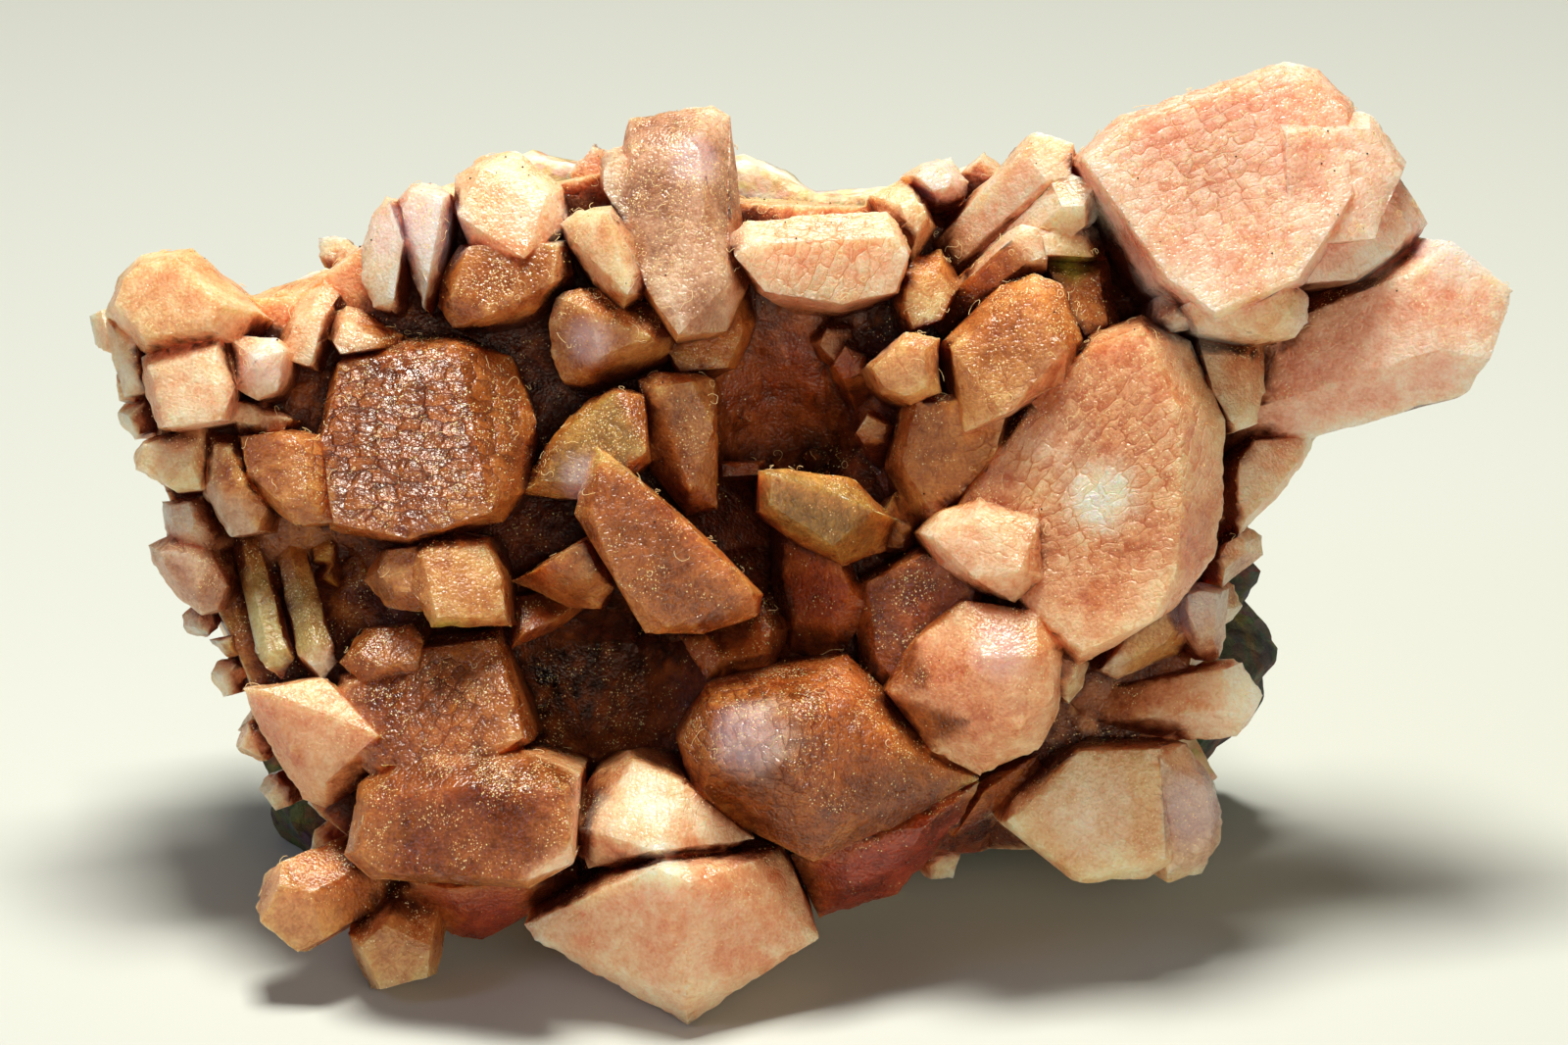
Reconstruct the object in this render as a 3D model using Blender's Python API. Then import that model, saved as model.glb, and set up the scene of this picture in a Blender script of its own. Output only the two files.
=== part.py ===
"""Cobaltoan calcite specimen: salmon-pink calcite crystals grown together on a band of pale massive calcite and a piece of dark host rock."""

import math
import random

import bmesh
import bpy
from mathutils import Vector, noise

# Driving dimensions, in metres and radians.
WIDTH = 0.089  # from the left shoulder crystal to the clear tip at the right
VIEW_TILT = math.radians(25)  # the drawing looks down on the standing specimen by this much
VIEW_DISTANCE = 0.432  # from the drawing's eye to the plane through the front tip
GAP = 0.0003  # left between pieces that touch

# The drawing grid. A spot is (across, down, deep): across and down are steps on the page, and
# deep is the steps behind the plane through the front tip, measured along the line of sight.
GRID_ACROSS = 1483  # steps over WIDTH
STEP = WIDTH / GRID_ACROSS
PAGE_MIDDLE = (800, 533)
FRONT_TIP_DOWN = 1049  # the lowest point of the front crystal, which stands on the floor
EYE = VIEW_DISTANCE / STEP

# Layers of the specimen, in steps deep.
BED_FRONT, BED_BACK = 86, 215
ROOTS = 156  # the faced crystals start in the bed
BAND_FRONT, BAND_BACK = 222, 310
ROCK_FRONT, ROCK_BACK = 292, 520
# The flat breaks at the back of the rock: a spot, in steps from the origin,
# and the way it looks.
ROCK_BREAKS = [
    ((0, 160, 0), (0.05, 1, -0.06)), ((0, 130, 420), (-0.1, 1, 0.55)), ((-380, 90, 200), (-0.8, 1, 0.1)),
    ((390, 130, 200), (0.7, 1, 0.22)), ((-120, 155, 120), (-0.25, 1, -0.35))]
FOOT = (0, 430)  # the world origin, under the rock, in steps right of and behind the front tip's plane
HEART = (720, 560, 330)  # the crystals fan out from here

# Faced crystals, seen end on or on one broad face. Each has
# (deep, rise, flat, apex, outline): the outline lies at deep, the apex stands rise nearer the eye,
# and flat is the share of the outline's size that the front face keeps, from 0, a point, to 1.
FACED = {
    "left_shoulder": (75, 45, 0.72, (140, 290), [
        (107, 320), (120, 282), (143, 258), (196, 253), (263, 318), (240, 352), (150, 366)]),
    "left_block": (42, 26, 0.80, (196, 432), [
        (142, 364), (182, 345), (226, 340), (240, 394), (232, 428), (200, 436), (160, 438), (147, 405)]),
    "left_flank": (92, 20, 0.50, (130, 362), [
        (106, 320), (146, 330), (152, 400), (126, 406), (114, 366)]),
    "left_twin": (30, 28, 0.00, (262, 366), [
        (227, 341), (283, 343), (293, 357), (283, 398), (262, 408), (240, 396)]),
    "left_pointer": (55, 22, 0.50, (240, 420), [
        (236, 398), (264, 405), (299, 427), (284, 446), (245, 444), (228, 425)]),
    "left_cheek": (70, 22, 0.75, (145, 470), [
        (145, 447), (212, 434), (211, 470), (205, 500), (180, 504), (155, 491), (137, 480), (135, 461)]),
    "left_grey": (85, 26, 0.45, (180, 520), [
        (163, 510), (207, 504), (219, 546), (216, 563), (192, 572), (170, 548)]),
    "left_grey_low": (80, 28, 0.50, (175, 570), [
        (151, 556), (175, 545), (213, 560), (232, 597), (222, 623), (205, 629), (170, 602), (155, 577)]),
    "left_sliver": (95, 12, 0.40, (230, 656), [
        (212, 652), (238, 648), (242, 669), (230, 672)]),
    "left_wedge": (48, 26, 0.70, (250, 450), [
        (240, 441), (300, 436), (337, 446), (340, 534), (301, 538), (252, 497)]),
    "left_drop": (58, 24, 0.50, (225, 470), [
        (211, 438), (243, 444), (253, 497), (273, 518), (262, 543), (233, 549), (206, 505)]),
    "stepped_block": (45, 44, 0.78, (425, 440), [
        (322, 446), (340, 366), (370, 346), (468, 338), (522, 364), (548, 430), (537, 500), (513, 532),
        (420, 558), (335, 541)]),
    "saddle_brown": (75, 26, 0.60, (300, 365), [
        (281, 346), (300, 310), (331, 285), (348, 300), (338, 342), (326, 380), (295, 371)]),
    "saddle_front": (58, 24, 0.60, (350, 355), [
        (334, 346), (343, 317), (353, 309), (374, 318), (412, 341), (406, 354), (346, 364)]),
    "saddle_red": (100, 16, 0.40, (352, 284), [
        (326, 286), (366, 261), (376, 280), (382, 314), (350, 308)]),
    "pink_fin": (52, 28, 0.30, (392, 252), [
        (366, 262), (378, 218), (394, 198), (405, 201), (413, 240), (411, 290), (398, 317), (380, 314), (370, 290)]),
    "pink_wedge": (42, 26, 0.62, (436, 224), [
        (404, 202), (420, 187), (438, 184), (462, 196), (459, 236), (446, 286), (431, 314), (416, 272)]),
    "top_disc": (52, 30, 0.82, (484, 240), [
        (462, 214), (464, 180), (490, 158), (526, 152), (574, 190), (581, 230), (545, 268), (480, 258)]),
    "under_disc": (36, 30, 0.82, (520, 262), [
        (446, 312), (450, 282), (468, 248), (545, 262), (581, 244), (586, 280), (574, 294), (545, 320), (500, 332),
        (462, 335)]),
    "tilted_prism": (12, 32, 0.00, (602, 234), [
        (571, 228), (588, 215), (624, 209), (646, 240), (656, 274), (657, 300), (636, 318), (604, 290), (580, 252)]),
    "tall_block": (40, 46, 0.50, (688, 172), [
        (622, 200), (640, 118), (726, 107), (733, 119), (746, 118), (757, 215), (764, 290), (742, 338), (690, 348),
        (655, 300)]),
    "tall_shoulder": (55, 26, 0.70, (625, 200), [
        (611, 160), (618, 151), (646, 145), (664, 200), (644, 242), (611, 192)]),
    "tall_foot": (72, 26, 0.80, (705, 370), [
        (655, 250), (760, 240), (772, 330), (752, 377), (690, 382), (662, 330)]),
    "mid_pointer": (28, 34, 0.00, (603, 345), [
        (560, 330), (566, 302), (592, 290), (640, 305), (681, 314), (694, 344), (680, 366), (640, 383), (600, 396),
        (575, 391), (560, 362)]),
    "long_slab": (12, 30, 0.82, (845, 268), [
        (742, 241), (762, 224), (905, 214), (921, 232), (931, 256), (918, 300), (860, 314), (776, 301)]),
    "ridge_left": (62, 32, 0.40, (940, 215), [
        (886, 198), (925, 180), (944, 200), (957, 232), (932, 268), (904, 242)]),
    "ridge_cap": (70, 26, 0.55, (950, 176), [
        (919, 179), (940, 166), (971, 160), (989, 185), (985, 202), (955, 209), (940, 197)]),
    "ridge_base": (50, 26, 0.70, (950, 330), [
        (917, 264), (962, 252), (982, 290), (965, 325), (925, 341), (912, 308)]),
    "small_gem": (-8, 24, 0.70, (905, 385), [
        (884, 372), (924, 337), (960, 344), (961, 400), (930, 414), (899, 402)]),
    "round_face": (-10, 30, 0.84, (1000, 404), [
        (964, 346), (1020, 290), (1055, 278), (1086, 290), (1106, 345), (1086, 390), (1030, 426), (985, 440)]),
    "ridge_step": (35, 24, 0.70, (1080, 255), [
        (1057, 236), (1102, 205), (1122, 236), (1131, 266), (1062, 262)]),
    "ridge_cheek": (42, 22, 0.70, (1100, 330), [
        (1062, 258), (1131, 260), (1144, 332), (1110, 348), (1078, 302)]),
    "great_plate": (10, 34, 0.84, (1262, 190), [
        (1100, 156), (1143, 117), (1310, 62), (1345, 70), (1382, 104), (1390, 200), (1332, 291), (1240, 331),
        (1182, 290)]),
    "great_step": (24, 30, 0.86, (1400, 240), [
        (1298, 118), (1398, 113), (1436, 165), (1427, 181), (1404, 244), (1300, 252)]),
    "great_corner": (36, 30, 0.86, (1330, 280), [
        (1320, 182), (1428, 178), (1459, 228), (1441, 252), (1392, 286), (1308, 293)]),
    "plate_ledge": (-14, 26, 0.84, (1230, 300), [
        (1206, 311), (1240, 296), (1318, 288), (1336, 300), (1337, 330), (1322, 345), (1288, 350), (1222, 341)]),
    "green_cube": (0, 22, 0.20, (1202, 318), [
        (1181, 302), (1205, 297), (1223, 320), (1221, 335), (1196, 339), (1179, 326)]),
    "orange_root": (30, 22, 0.70, (1240, 400), [
        (1222, 345), (1290, 348), (1292, 400), (1283, 432), (1262, 441), (1238, 402)]),
    "right_giant": (-2, 66, 0.42, (1118, 486), [
        (968, 532), (1040, 402), (1112, 340), (1165, 320), (1215, 348), (1250, 428), (1250, 500), (1242, 565),
        (1200, 622), (1100, 682), (1010, 604)]),
    "giant_corner": (-24, 30, 0.70, (985, 562), [
        (938, 543), (960, 520), (1000, 508), (1062, 528), (1064, 590), (1036, 616), (1000, 604), (963, 580)]),
    "right_blade": (88, 20, 0.78, (1300, 470), [
        (1253, 520), (1255, 470), (1276, 444), (1345, 440), (1333, 470), (1302, 510), (1265, 546)]),
    "right_knob": (95, 22, 0.50, (1255, 560), [
        (1234, 576), (1250, 545), (1271, 534), (1289, 546), (1289, 566), (1266, 576), (1246, 601)]),
    "right_shard": (82, 26, 0.60, (1225, 612), [
        (1202, 602), (1225, 594), (1255, 600), (1251, 650), (1246, 674), (1224, 676), (1204, 640)]),
    "right_orange": (70, 24, 0.60, (1170, 640), [
        (1134, 654), (1198, 610), (1217, 646), (1202, 668), (1140, 694), (1120, 684)]),
    "low_plate": (62, 34, 0.78, (1122, 836), [
        (1019, 839), (1032, 812), (1062, 804), (1096, 757), (1192, 755), (1204, 800), (1198, 880), (1170, 897),
        (1100, 903)]),
    "low_plate_side": (84, 26, 0.82, (1200, 840), [
        (1180, 760), (1212, 757), (1238, 795), (1250, 838), (1246, 862), (1228, 893), (1190, 903), (1172, 850)]),
    "hanging_gem": (-22, 44, 0.34, (1034, 698), [
        (904, 706), (935, 652), (985, 612), (1058, 622), (1086, 662), (1083, 722), (1060, 766), (1000, 792),
        (950, 766)]),
    "red_stub": (34, 22, 0.50, (1090, 680), [
        (1070, 652), (1098, 655), (1112, 676), (1106, 702), (1091, 719), (1070, 700)]),
    "amber_wall": (45, 26, 0.80, (960, 600), [
        (866, 592), (940, 556), (1004, 600), (988, 690), (934, 744), (880, 696)]),
    "amber_upper": (34, 26, 0.80, (990, 440), [
        (922, 404), (1042, 396), (1022, 470), (975, 524), (940, 548), (902, 478)]),
    "central_blade": (-16, 26, 0.88, (672, 562), [
        (585, 524), (590, 500), (608, 453), (640, 475), (736, 562), (779, 606), (775, 628), (718, 648), (658, 647)]),
    "blade_shadow": (18, 24, 0.82, (640, 420), [
        (531, 505), (545, 474), (560, 445), (600, 405), (626, 394), (658, 402), (664, 470), (642, 492), (600, 512)]),
    "window_pillar": (28, 26, 0.75, (716, 420), [
        (651, 388), (668, 378), (702, 379), (729, 386), (733, 440), (733, 520), (700, 526), (662, 480)]),
    "window_ledge": (88, 16, 0.70, (756, 480), [
        (728, 470), (782, 468), (782, 487), (730, 490)]),
    "olive_gem": (8, 30, 0.75, (820, 494), [
        (774, 479), (802, 477), (850, 500), (870, 487), (917, 530), (904, 562), (860, 578), (800, 546), (774, 522)]),
    "under_blade": (30, 26, 0.50, (590, 560), [
        (521, 593), (560, 569), (602, 544), (628, 600), (612, 622), (580, 620)]),
    "ember_shelf": (72, 24, 0.70, (560, 610), [
        (518, 606), (560, 600), (604, 616), (572, 641), (522, 662)]),
    "ember_foot": (88, 26, 0.60, (760, 640), [
        (690, 648), (776, 614), (792, 600), (806, 642), (790, 682), (720, 694)]),
    "ember_wall": (84, 24, 0.70, (820, 560), [
        (792, 520), (864, 560), (888, 620), (860, 668), (806, 668), (786, 600)]),
    "gold_gem": (8, 36, 0.26, (482, 588), [
        (421, 560), (446, 540), (501, 545), (518, 580), (521, 640), (500, 637), (440, 640), (419, 604)]),
    "gold_side": (32, 26, 0.70, (420, 560), [
        (370, 592), (385, 560), (428, 554), (434, 626), (394, 622)]),
    "gold_shelf": (38, 22, 0.70, (420, 640), [
        (344, 676), (370, 640), (422, 634), (438, 660), (430, 692), (370, 697)]),
    "brown_block": (26, 34, 0.80, (444, 716), [
        (424, 650), (512, 639), (542, 758), (500, 786), (380, 792), (328, 742), (346, 688)]),
    "low_left_body": (46, 30, 0.78, (330, 704), [
        (248, 702), (330, 690), (402, 762), (370, 802), (332, 826), (308, 816), (285, 780), (262, 746)]),
    "front_left_block": (-22, 44, 0.62, (456, 836), [
        (350, 872), (365, 800), (430, 750), (530, 764), (592, 790), (587, 880), (540, 906), (380, 898)]),
    "front_left_chip": (-44, 22, 0.70, (560, 880), [
        (494, 874), (520, 862), (590, 868), (586, 882), (556, 898), (524, 903)]),
    "foot_red": (72, 22, 0.50, (500, 916), [
        (412, 898), (586, 884), (591, 900), (540, 936), (492, 959), (460, 956), (430, 930)]),
    "front_low": (12, 96, 0.00, (668, 884), [
        (535, 943), (600, 892), (704, 852), (800, 862), (836, 957), (702, 1047), (545, 960)]),
    "front_low_back": (8, 62, 0.24, (662, 838), [
        (575, 850), (581, 830), (605, 790), (640, 765), (692, 782), (740, 824), (770, 856), (700, 884), (600, 886)]),
    "front_mid": (12, 78, 0.00, (794, 724), [
        (689, 756), (722, 694), (866, 667), (936, 745), (1001, 795), (900, 850), (830, 880), (712, 821)]),
    "under_mid": (58, 28, 0.45, (900, 880), [
        (828, 884), (900, 840), (1000, 798), (986, 830), (942, 884), (916, 912), (836, 938), (806, 872)]),
    "low_dark": (96, 22, 0.50, (1010, 820), [
        (1000, 795), (1062, 768), (1066, 802), (1032, 812), (1022, 842), (1000, 861), (942, 880), (984, 830)]),
}

# The front corners of the crystals whose faces the drawing shows well: (across, down, rise).
FRONTS = {
    "right_giant": [
        (1165, 334, 56), (1204, 420, 64), (1208, 500, 66), (1200, 585, 63), (1176, 634, 58), (1104, 666, 43),
        (1024, 598, 26), (988, 532, 18), (1052, 412, 32), (1112, 354, 45), (1122, 505, 54)],
    "stepped_block": [
        (328, 450, 32), (346, 372, 34), (466, 350, 46), (500, 522, 48), (420, 550, 38), (340, 534, 32)],
    "central_blade": [
        (612, 470, 26), (642, 480, 28), (734, 566, 28), (770, 604, 22), (764, 616, 18), (716, 636, 18),
        (680, 640, 20), (630, 596, 26), (606, 530, 28), (600, 508, 20)],
    "pink_fin": [(396, 204, 22), (411, 246, 30), (402, 306, 24), (376, 262, 10)],
    "pink_wedge": [(420, 192, 22), (452, 202, 30), (436, 290, 24), (410, 214, 20)],
    "tilted_prism": [(622, 216, 30), (640, 300, 36), (600, 262, 22)],
    "mid_pointer": [(600, 316, 30), (664, 344, 34), (612, 364, 34)],
    "tall_block": [
        (644, 156, 28), (712, 140, 46), (718, 212, 50), (742, 290, 42), (692, 342, 34), (660, 296, 28),
        (630, 204, 20)],
    "long_slab": [
        (750, 262, 24), (766, 248, 26), (912, 242, 28), (926, 262, 24), (914, 298, 22), (860, 310, 20), (780, 298, 20)],
    "front_mid": [
        (794, 727, 86), (729, 779, 62), (808, 792, 72), (868, 712, 54), (918, 770, 46), (850, 842, 46),
        (724, 716, 44)],
    "front_low": [(668, 884, 98), (704, 900, 94), (700, 1016, 44), (768, 880, 52)],
    "front_low_back": [(648, 776, 40), (700, 800, 50), (668, 868, 62), (600, 846, 40)],
    "hanging_gem": [
        (1004, 672, 44), (1058, 668, 34), (1074, 712, 30), (1040, 744, 42), (990, 737, 48), (946, 700, 26)],
    "great_plate": [
        (1106, 162, 28), (1148, 124, 26), (1308, 70, 24), (1342, 80, 26), (1374, 112, 28), (1380, 198, 34),
        (1326, 284, 36), (1240, 318, 34), (1192, 284, 32)],
    "front_left_block": [
        (360, 868, 24), (378, 814, 36), (470, 802, 46), (576, 806, 44), (582, 862, 38), (536, 898, 30), (388, 890, 26)],
    "brown_block": [
        (432, 662, 26), (506, 650, 30), (534, 752, 30), (498, 776, 26), (388, 782, 22), (342, 742, 16),
        (356, 696, 18)],
    "gold_gem": [(430, 568, 24), (496, 554, 30), (512, 590, 34), (516, 630, 26), (446, 630, 28)],
    "low_plate": [
        (1028, 838, 16), (1066, 812, 26), (1100, 766, 28), (1184, 764, 32), (1190, 876, 28), (1104, 894, 18)],
}

# How a front face slopes away, per step to the right and per step down. Others lean out from the heart.
LEAN = 0.42
LEANS = {
    "great_plate": (0.10, -0.30), "great_step": (0.26, -0.18), "great_corner": (0.34, 0.10),
    "right_giant": (-0.10, -0.12), "stepped_block": (-0.16, -0.16), "central_blade": (0.10, -0.10),
    "long_slab": (0.05, -0.12), "front_mid": (0.12, -0.16), "front_low": (0.0, -0.10),
    "front_low_back": (-0.10, -0.40), "front_left_block": (-0.22, -0.26), "low_plate": (0.10, -0.06),
    "hanging_gem": (-0.10, 0.18), "brown_block": (-0.14, -0.32), "gold_gem": (0.20, -0.26),
    "gold_side": (-0.4, -0.3), "gold_shelf": (-0.1, -0.6), "blade_shadow": (-0.36, -0.22),
    "olive_gem": (0.30, 0.26), "amber_wall": (-0.3, -0.1), "amber_upper": (-0.35, 0.2),
    "under_blade": (-0.3, 0.3), "ember_shelf": (0.1, -0.8), "ember_foot": (0.2, -0.7), "ember_wall": (-0.6, 0.1),
    "window_pillar": (-0.1, 0.1), "foot_red": (0.0, 0.9), "under_mid": (0.3, 0.8), "low_dark": (0.3, 0.9),
    "giant_corner": (-0.34, -0.10), "round_face": (-0.12, -0.22), "small_gem": (-0.3, 0.1),
    "plate_ledge": (0.05, 0.15), "tilted_prism": (-0.20, -0.1), "mid_pointer": (0.1, 0.2),
}

# Prismatic crystals, seen from the side: (root, tip, width, flatness, turn in degrees, cap steepness).
PRISMS = {
    "clear_tip": ((1225, 408, 118), (1546, 296, 38), 172, 0.66, 8, 0.55),
    "rib_upper": ((945, 292, 120), (1096, 146, 22), 84, 0.80, 20, 0.50),
    "rib_middle": ((975, 318, 100), (1118, 186, 2), 66, 0.80, 40, 0.60),
    "rib_lower": ((960, 330, 90), (1072, 236, 8), 60, 0.80, 12, 0.60),
    "amber_prism": ((1108, 728, 128), (1290, 708, 62), 86, 0.85, 14, 0.42),
    "left_foot": ((418, 868, 110), (264, 942, 14), 106, 0.82, 24, 0.50),
    "stand_foot": ((430, 880, 128), (388, 1010, 24), 104, 0.85, 12, 0.55),
    "rib_left": ((250, 540, 120), (288, 694, 52), 40, 0.85, 10, 0.80),
    "rib_right": ((296, 560, 120), (330, 694, 44), 46, 0.85, 30, 0.80),
    "window_bar": ((842, 300, 150), (856, 372, 70), 54, 0.90, 20, 0.70),
    "window_gem": ((884, 420, 140), (862, 352, 58), 48, 0.90, 0, 0.70),
    "gold_point": ((906, 470, 120), (884, 424, 30), 44, 0.80, 15, 0.80),
    "centre_crossing": ((930, 560, 130), (902, 520, 30), 74, 0.80, 40, 0.60),
    "ridge_back": ((1010, 230, 170), (1000, 160, 104), 60, 0.90, 10, 0.55),
    "saddle_back": ((300, 370, 170), (288, 292, 108), 62, 0.90, 22, 0.60),
    "low_knob": ((300, 740, 170), (246, 762, 96), 46, 0.90, 0, 0.60),
    "low_knob_dark": ((330, 790, 190), (268, 812, 118), 44, 0.90, 33, 0.60),
    "side_knob": ((250, 690, 160), (226, 690, 92), 44, 0.90, 18, 0.60),
    "edge_knob": ((170, 430, 160), (130, 424, 86), 50, 0.90, 5, 0.60),
    "edge_knob_upper": ((165, 395, 150), (118, 392, 92), 40, 0.90, 40, 0.60),
    "edge_knob_low": ((215, 620, 160), (200, 640, 92), 40, 0.90, 40, 0.60),
}

# Outlines of the layers, on the page.
BED_OUTLINE = [
    (150, 345), (215, 300), (300, 305), (380, 250), (470, 205), (620, 175), (760, 205), (900, 215), (1080, 200),
    (1170, 300), (1236, 420), (1240, 560), (1215, 680), (1195, 790), (1080, 868), (940, 868), (830, 905),
    (640, 925), (450, 925), (330, 830), (262, 720), (200, 590), (160, 470)]
BAND_OUTLINE = [
    (190, 355), (262, 312), (318, 282), (400, 262), (545, 160), (612, 178), (700, 172), (758, 163), (800, 178),
    (832, 198), (888, 196), (1010, 168), (1120, 240), (1200, 360), (1236, 470), (1240, 620), (1214, 742),
    (1238, 792), (1170, 850), (1030, 862), (860, 890), (560, 930), (400, 905), (318, 818), (250, 690), (196, 540)]
ROCK_OUTLINE = [
    (232, 400), (330, 320), (470, 245), (640, 205), (860, 215), (1060, 235), (1200, 340), (1286, 470), (1312, 580),
    (1282, 690), (1196, 810), (1050, 868), (900, 892), (700, 930), (500, 970), (380, 940), (290, 856), (258, 786),
    (226, 640), (212, 520)]

# Hollows of the bed between the crystals: (across, down, half width, half height, steps deeper).
HOLLOWS = [(622, 688, 105, 80, 84), (800, 440, 90, 70, 62), (762, 560, 55, 90, 70), (312, 575, 60, 40, 40)]

# Small crystals along the rim, and between the large ones.
RIM_COUNT, RIM_WIDTH, RIM_LENGTH = 28, (30, 74), (70, 132)
FILL_COUNT, FILL_WIDTH, FILL_LENGTH = 7, (26, 50), (70, 112)
HEX = 6


def place(spot):
    """The world point, in metres, of a spot on the drawing grid."""
    across, down, deep = spot
    spread = 1 + deep / EYE
    right = (across - PAGE_MIDDLE[0]) * spread
    up = (PAGE_MIDDLE[1] - down) * spread + FRONT_TIP_DOWN - PAGE_MIDDLE[1]
    sine, cosine = math.sin(VIEW_TILT), math.cos(VIEW_TILT)
    return Vector((right - FOOT[0], up * sine + deep * cosine - FOOT[1], up * cosine - deep * sine)) * STEP


def clear_scene():
    for obj in list(bpy.data.objects):
        bpy.data.objects.remove(obj, do_unlink=True)


def mineral(name, colour, roughness):
    """A stony material. Nothing here is metallic."""
    material = bpy.data.materials.new(name)
    material.use_nodes = True
    shader = material.node_tree.nodes["Principled BSDF"]
    shader.inputs["Base Color"].default_value = (*colour, 1)
    shader.inputs["Roughness"].default_value = roughness
    shader.inputs["Metallic"].default_value = 0
    material.diffuse_color = (*colour, 1)
    return material


def add_object(name, body, collection=None):
    mesh = bpy.data.meshes.new(name)
    body.to_mesh(mesh)
    body.free()
    obj = bpy.data.objects.new(name, mesh)
    (collection or bpy.context.scene.collection).objects.link(obj)
    return obj


def hull(spots):
    """The closed convex body over some spots of the drawing grid, in world metres."""
    body = bmesh.new()
    for spot in spots:
        body.verts.new(place(spot))
    made = bmesh.ops.convex_hull(body, input=body.verts)
    loose = [v for v in made["geom_interior"] + made["geom_unused"] if isinstance(v, bmesh.types.BMVert)]
    bmesh.ops.delete(body, geom=list(set(loose)), context="VERTS")
    bmesh.ops.recalc_face_normals(body, faces=body.faces)
    return body


def centre_of(outline):
    return sum(p[0] for p in outline) / len(outline), sum(p[1] for p in outline) / len(outline)


def lean_of(name, middle):
    if name in LEANS:
        return LEANS[name]
    return LEAN * (middle[0] - HEART[0]) / 600, LEAN * (middle[1] - HEART[1]) / 450


def faced_crystal(name, deep, rise, flat, apex, outline, pull=0.10, taper=0.92):
    """A crystal whose outline is capped by faces that climb to its apex, and which narrows to its root."""
    middle = centre_of(outline)
    slope = lean_of(name, middle)

    def leant(x, y, steps):
        return x, y, deep + steps + slope[0] * (x - middle[0]) + slope[1] * (y - middle[1])

    root = [middle[i] + pull * (HEART[i] - middle[i]) for i in range(2)]
    base = ROOTS + (outline[0][0] * 7 + outline[0][1] * 3) % 31  # no two crystals end in one plane
    spots = [leant(x, y, 0) for x, y in outline]
    for x, y in outline[::2]:
        spots.append((root[0] + taper * (x - middle[0]), root[1] + taper * (y - middle[1]), base))
    if name in FRONTS:
        spots += [leant(x, y, -up) for x, y, up in FRONTS[name]]
    elif flat:
        for x, y in outline[:: 2 if len(outline) > 7 else 1]:
            spots.append(leant(apex[0] + flat * (x - apex[0]), apex[1] + flat * (y - apex[1]), -rise))
    else:
        spots.append(leant(*apex, -rise))
    return hull(spots)


def prism_crystal(root, tip, width, flatness, turn, steepness):
    """A six-sided prism with a low cap of three faces, as calcite has, from its root to its tip."""
    root, tip = Vector(root), Vector(tip)
    axis = (tip - root).normalized()
    side = axis.cross(Vector((0, 0, 1))).normalized()
    front = side.cross(axis)
    radius, length = width / 2, (tip - root).length
    turn = math.radians(turn)

    def spot(angle, reach, height):
        across, near = math.cos(angle) * reach, math.sin(angle) * reach * flatness
        point = root + axis * height + side * across + front * near
        return tuple(point)

    shoulder = length - radius * math.cos(math.pi / HEX) * 2 * steepness
    ridge = length - radius * math.cos(math.pi / HEX) * steepness
    spots = [tuple(tip)]
    for i in range(HEX):
        angle = turn + i * math.tau / HEX
        spots += [spot(angle, radius * 0.8, 0), spot(angle, radius, shoulder)]
        if i % 2:
            spots.append(spot(angle + math.pi / HEX, radius * math.cos(math.pi / HEX), ridge))
    return hull(spots)


def bed_depth(across, down):
    """How much deeper the bed's front lies at a spot, in its hollows."""
    deeper = 0
    for x, y, half_width, half_height, steps in HOLLOWS:
        away = math.hypot((across - x) / half_width, (down - y) / half_height)
        deeper = max(deeper, steps * min(1, max(0, 1.5 - away)))
    return deeper


def rough_plate(outline, front, back, cell, roughness, seed, hollowed=False):
    """A rough plate between two depths. Its rim and faces are lumpy, and its front can have hollows."""
    body = bmesh.new()
    rings = [[body.verts.new((x, y, deep)) for x, y in outline] for deep in (front, back)]
    body.faces.new(rings[0])
    body.faces.new(reversed(rings[1]))
    for i in range(len(outline)):
        a, b = rings
        j = (i + 1) % len(outline)
        body.faces.new((a[j], a[i], b[i], b[j]))
    bmesh.ops.recalc_face_normals(body, faces=body.faces)
    bmesh.ops.triangulate(body, faces=body.faces)
    for _ in range(6):
        long_edges = [e for e in body.edges if e.calc_length() > cell]
        if not long_edges:
            break
        bmesh.ops.subdivide_edges(body, edges=long_edges, cuts=1)
        bmesh.ops.triangulate(body, faces=body.faces)
        bmesh.ops.beautify_fill(body, faces=body.faces, edges=body.edges)
    body.normal_update()
    middle = (front + back) / 2
    moves = {}
    for v in body.verts:
        shift = v.normal * noise.noise(v.co / (cell * 1.6) + Vector((seed, seed, seed))) * roughness
        if hollowed and v.co.z < middle:
            shift.z += bed_depth(v.co.x, v.co.y)
        moves[v] = shift
    for v, shift in moves.items():
        v.co += shift
    for v in body.verts:
        v.co = place(v.co)
    return body


def swollen(obj, name, margin):
    """A cutter: a copy of the object with each face moved out by the margin."""
    body = bmesh.new()
    body.from_mesh(obj.data)
    body.normal_update()
    moves = [(v, v.normal * margin * min(2, v.calc_shell_factor())) for v in body.verts]
    for v, shift in moves:
        v.co += shift
    cutter = add_object(name, body)
    cutter.hide_render = True
    cutter.display_type = "WIRE"
    return cutter


def cut_flat(body, point, normal):
    """Cuts off what lies beyond a plane, and closes the cut with one flat face."""
    geometry = body.verts[:] + body.edges[:] + body.faces[:]
    made = bmesh.ops.bisect_plane(body, geom=geometry, plane_co=point, plane_no=normal, clear_outer=True)
    rim = [e for e in made["geom_cut"] if isinstance(e, bmesh.types.BMEdge)]
    bmesh.ops.holes_fill(body, edges=rim)
    bmesh.ops.recalc_face_normals(body, faces=body.faces)


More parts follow.
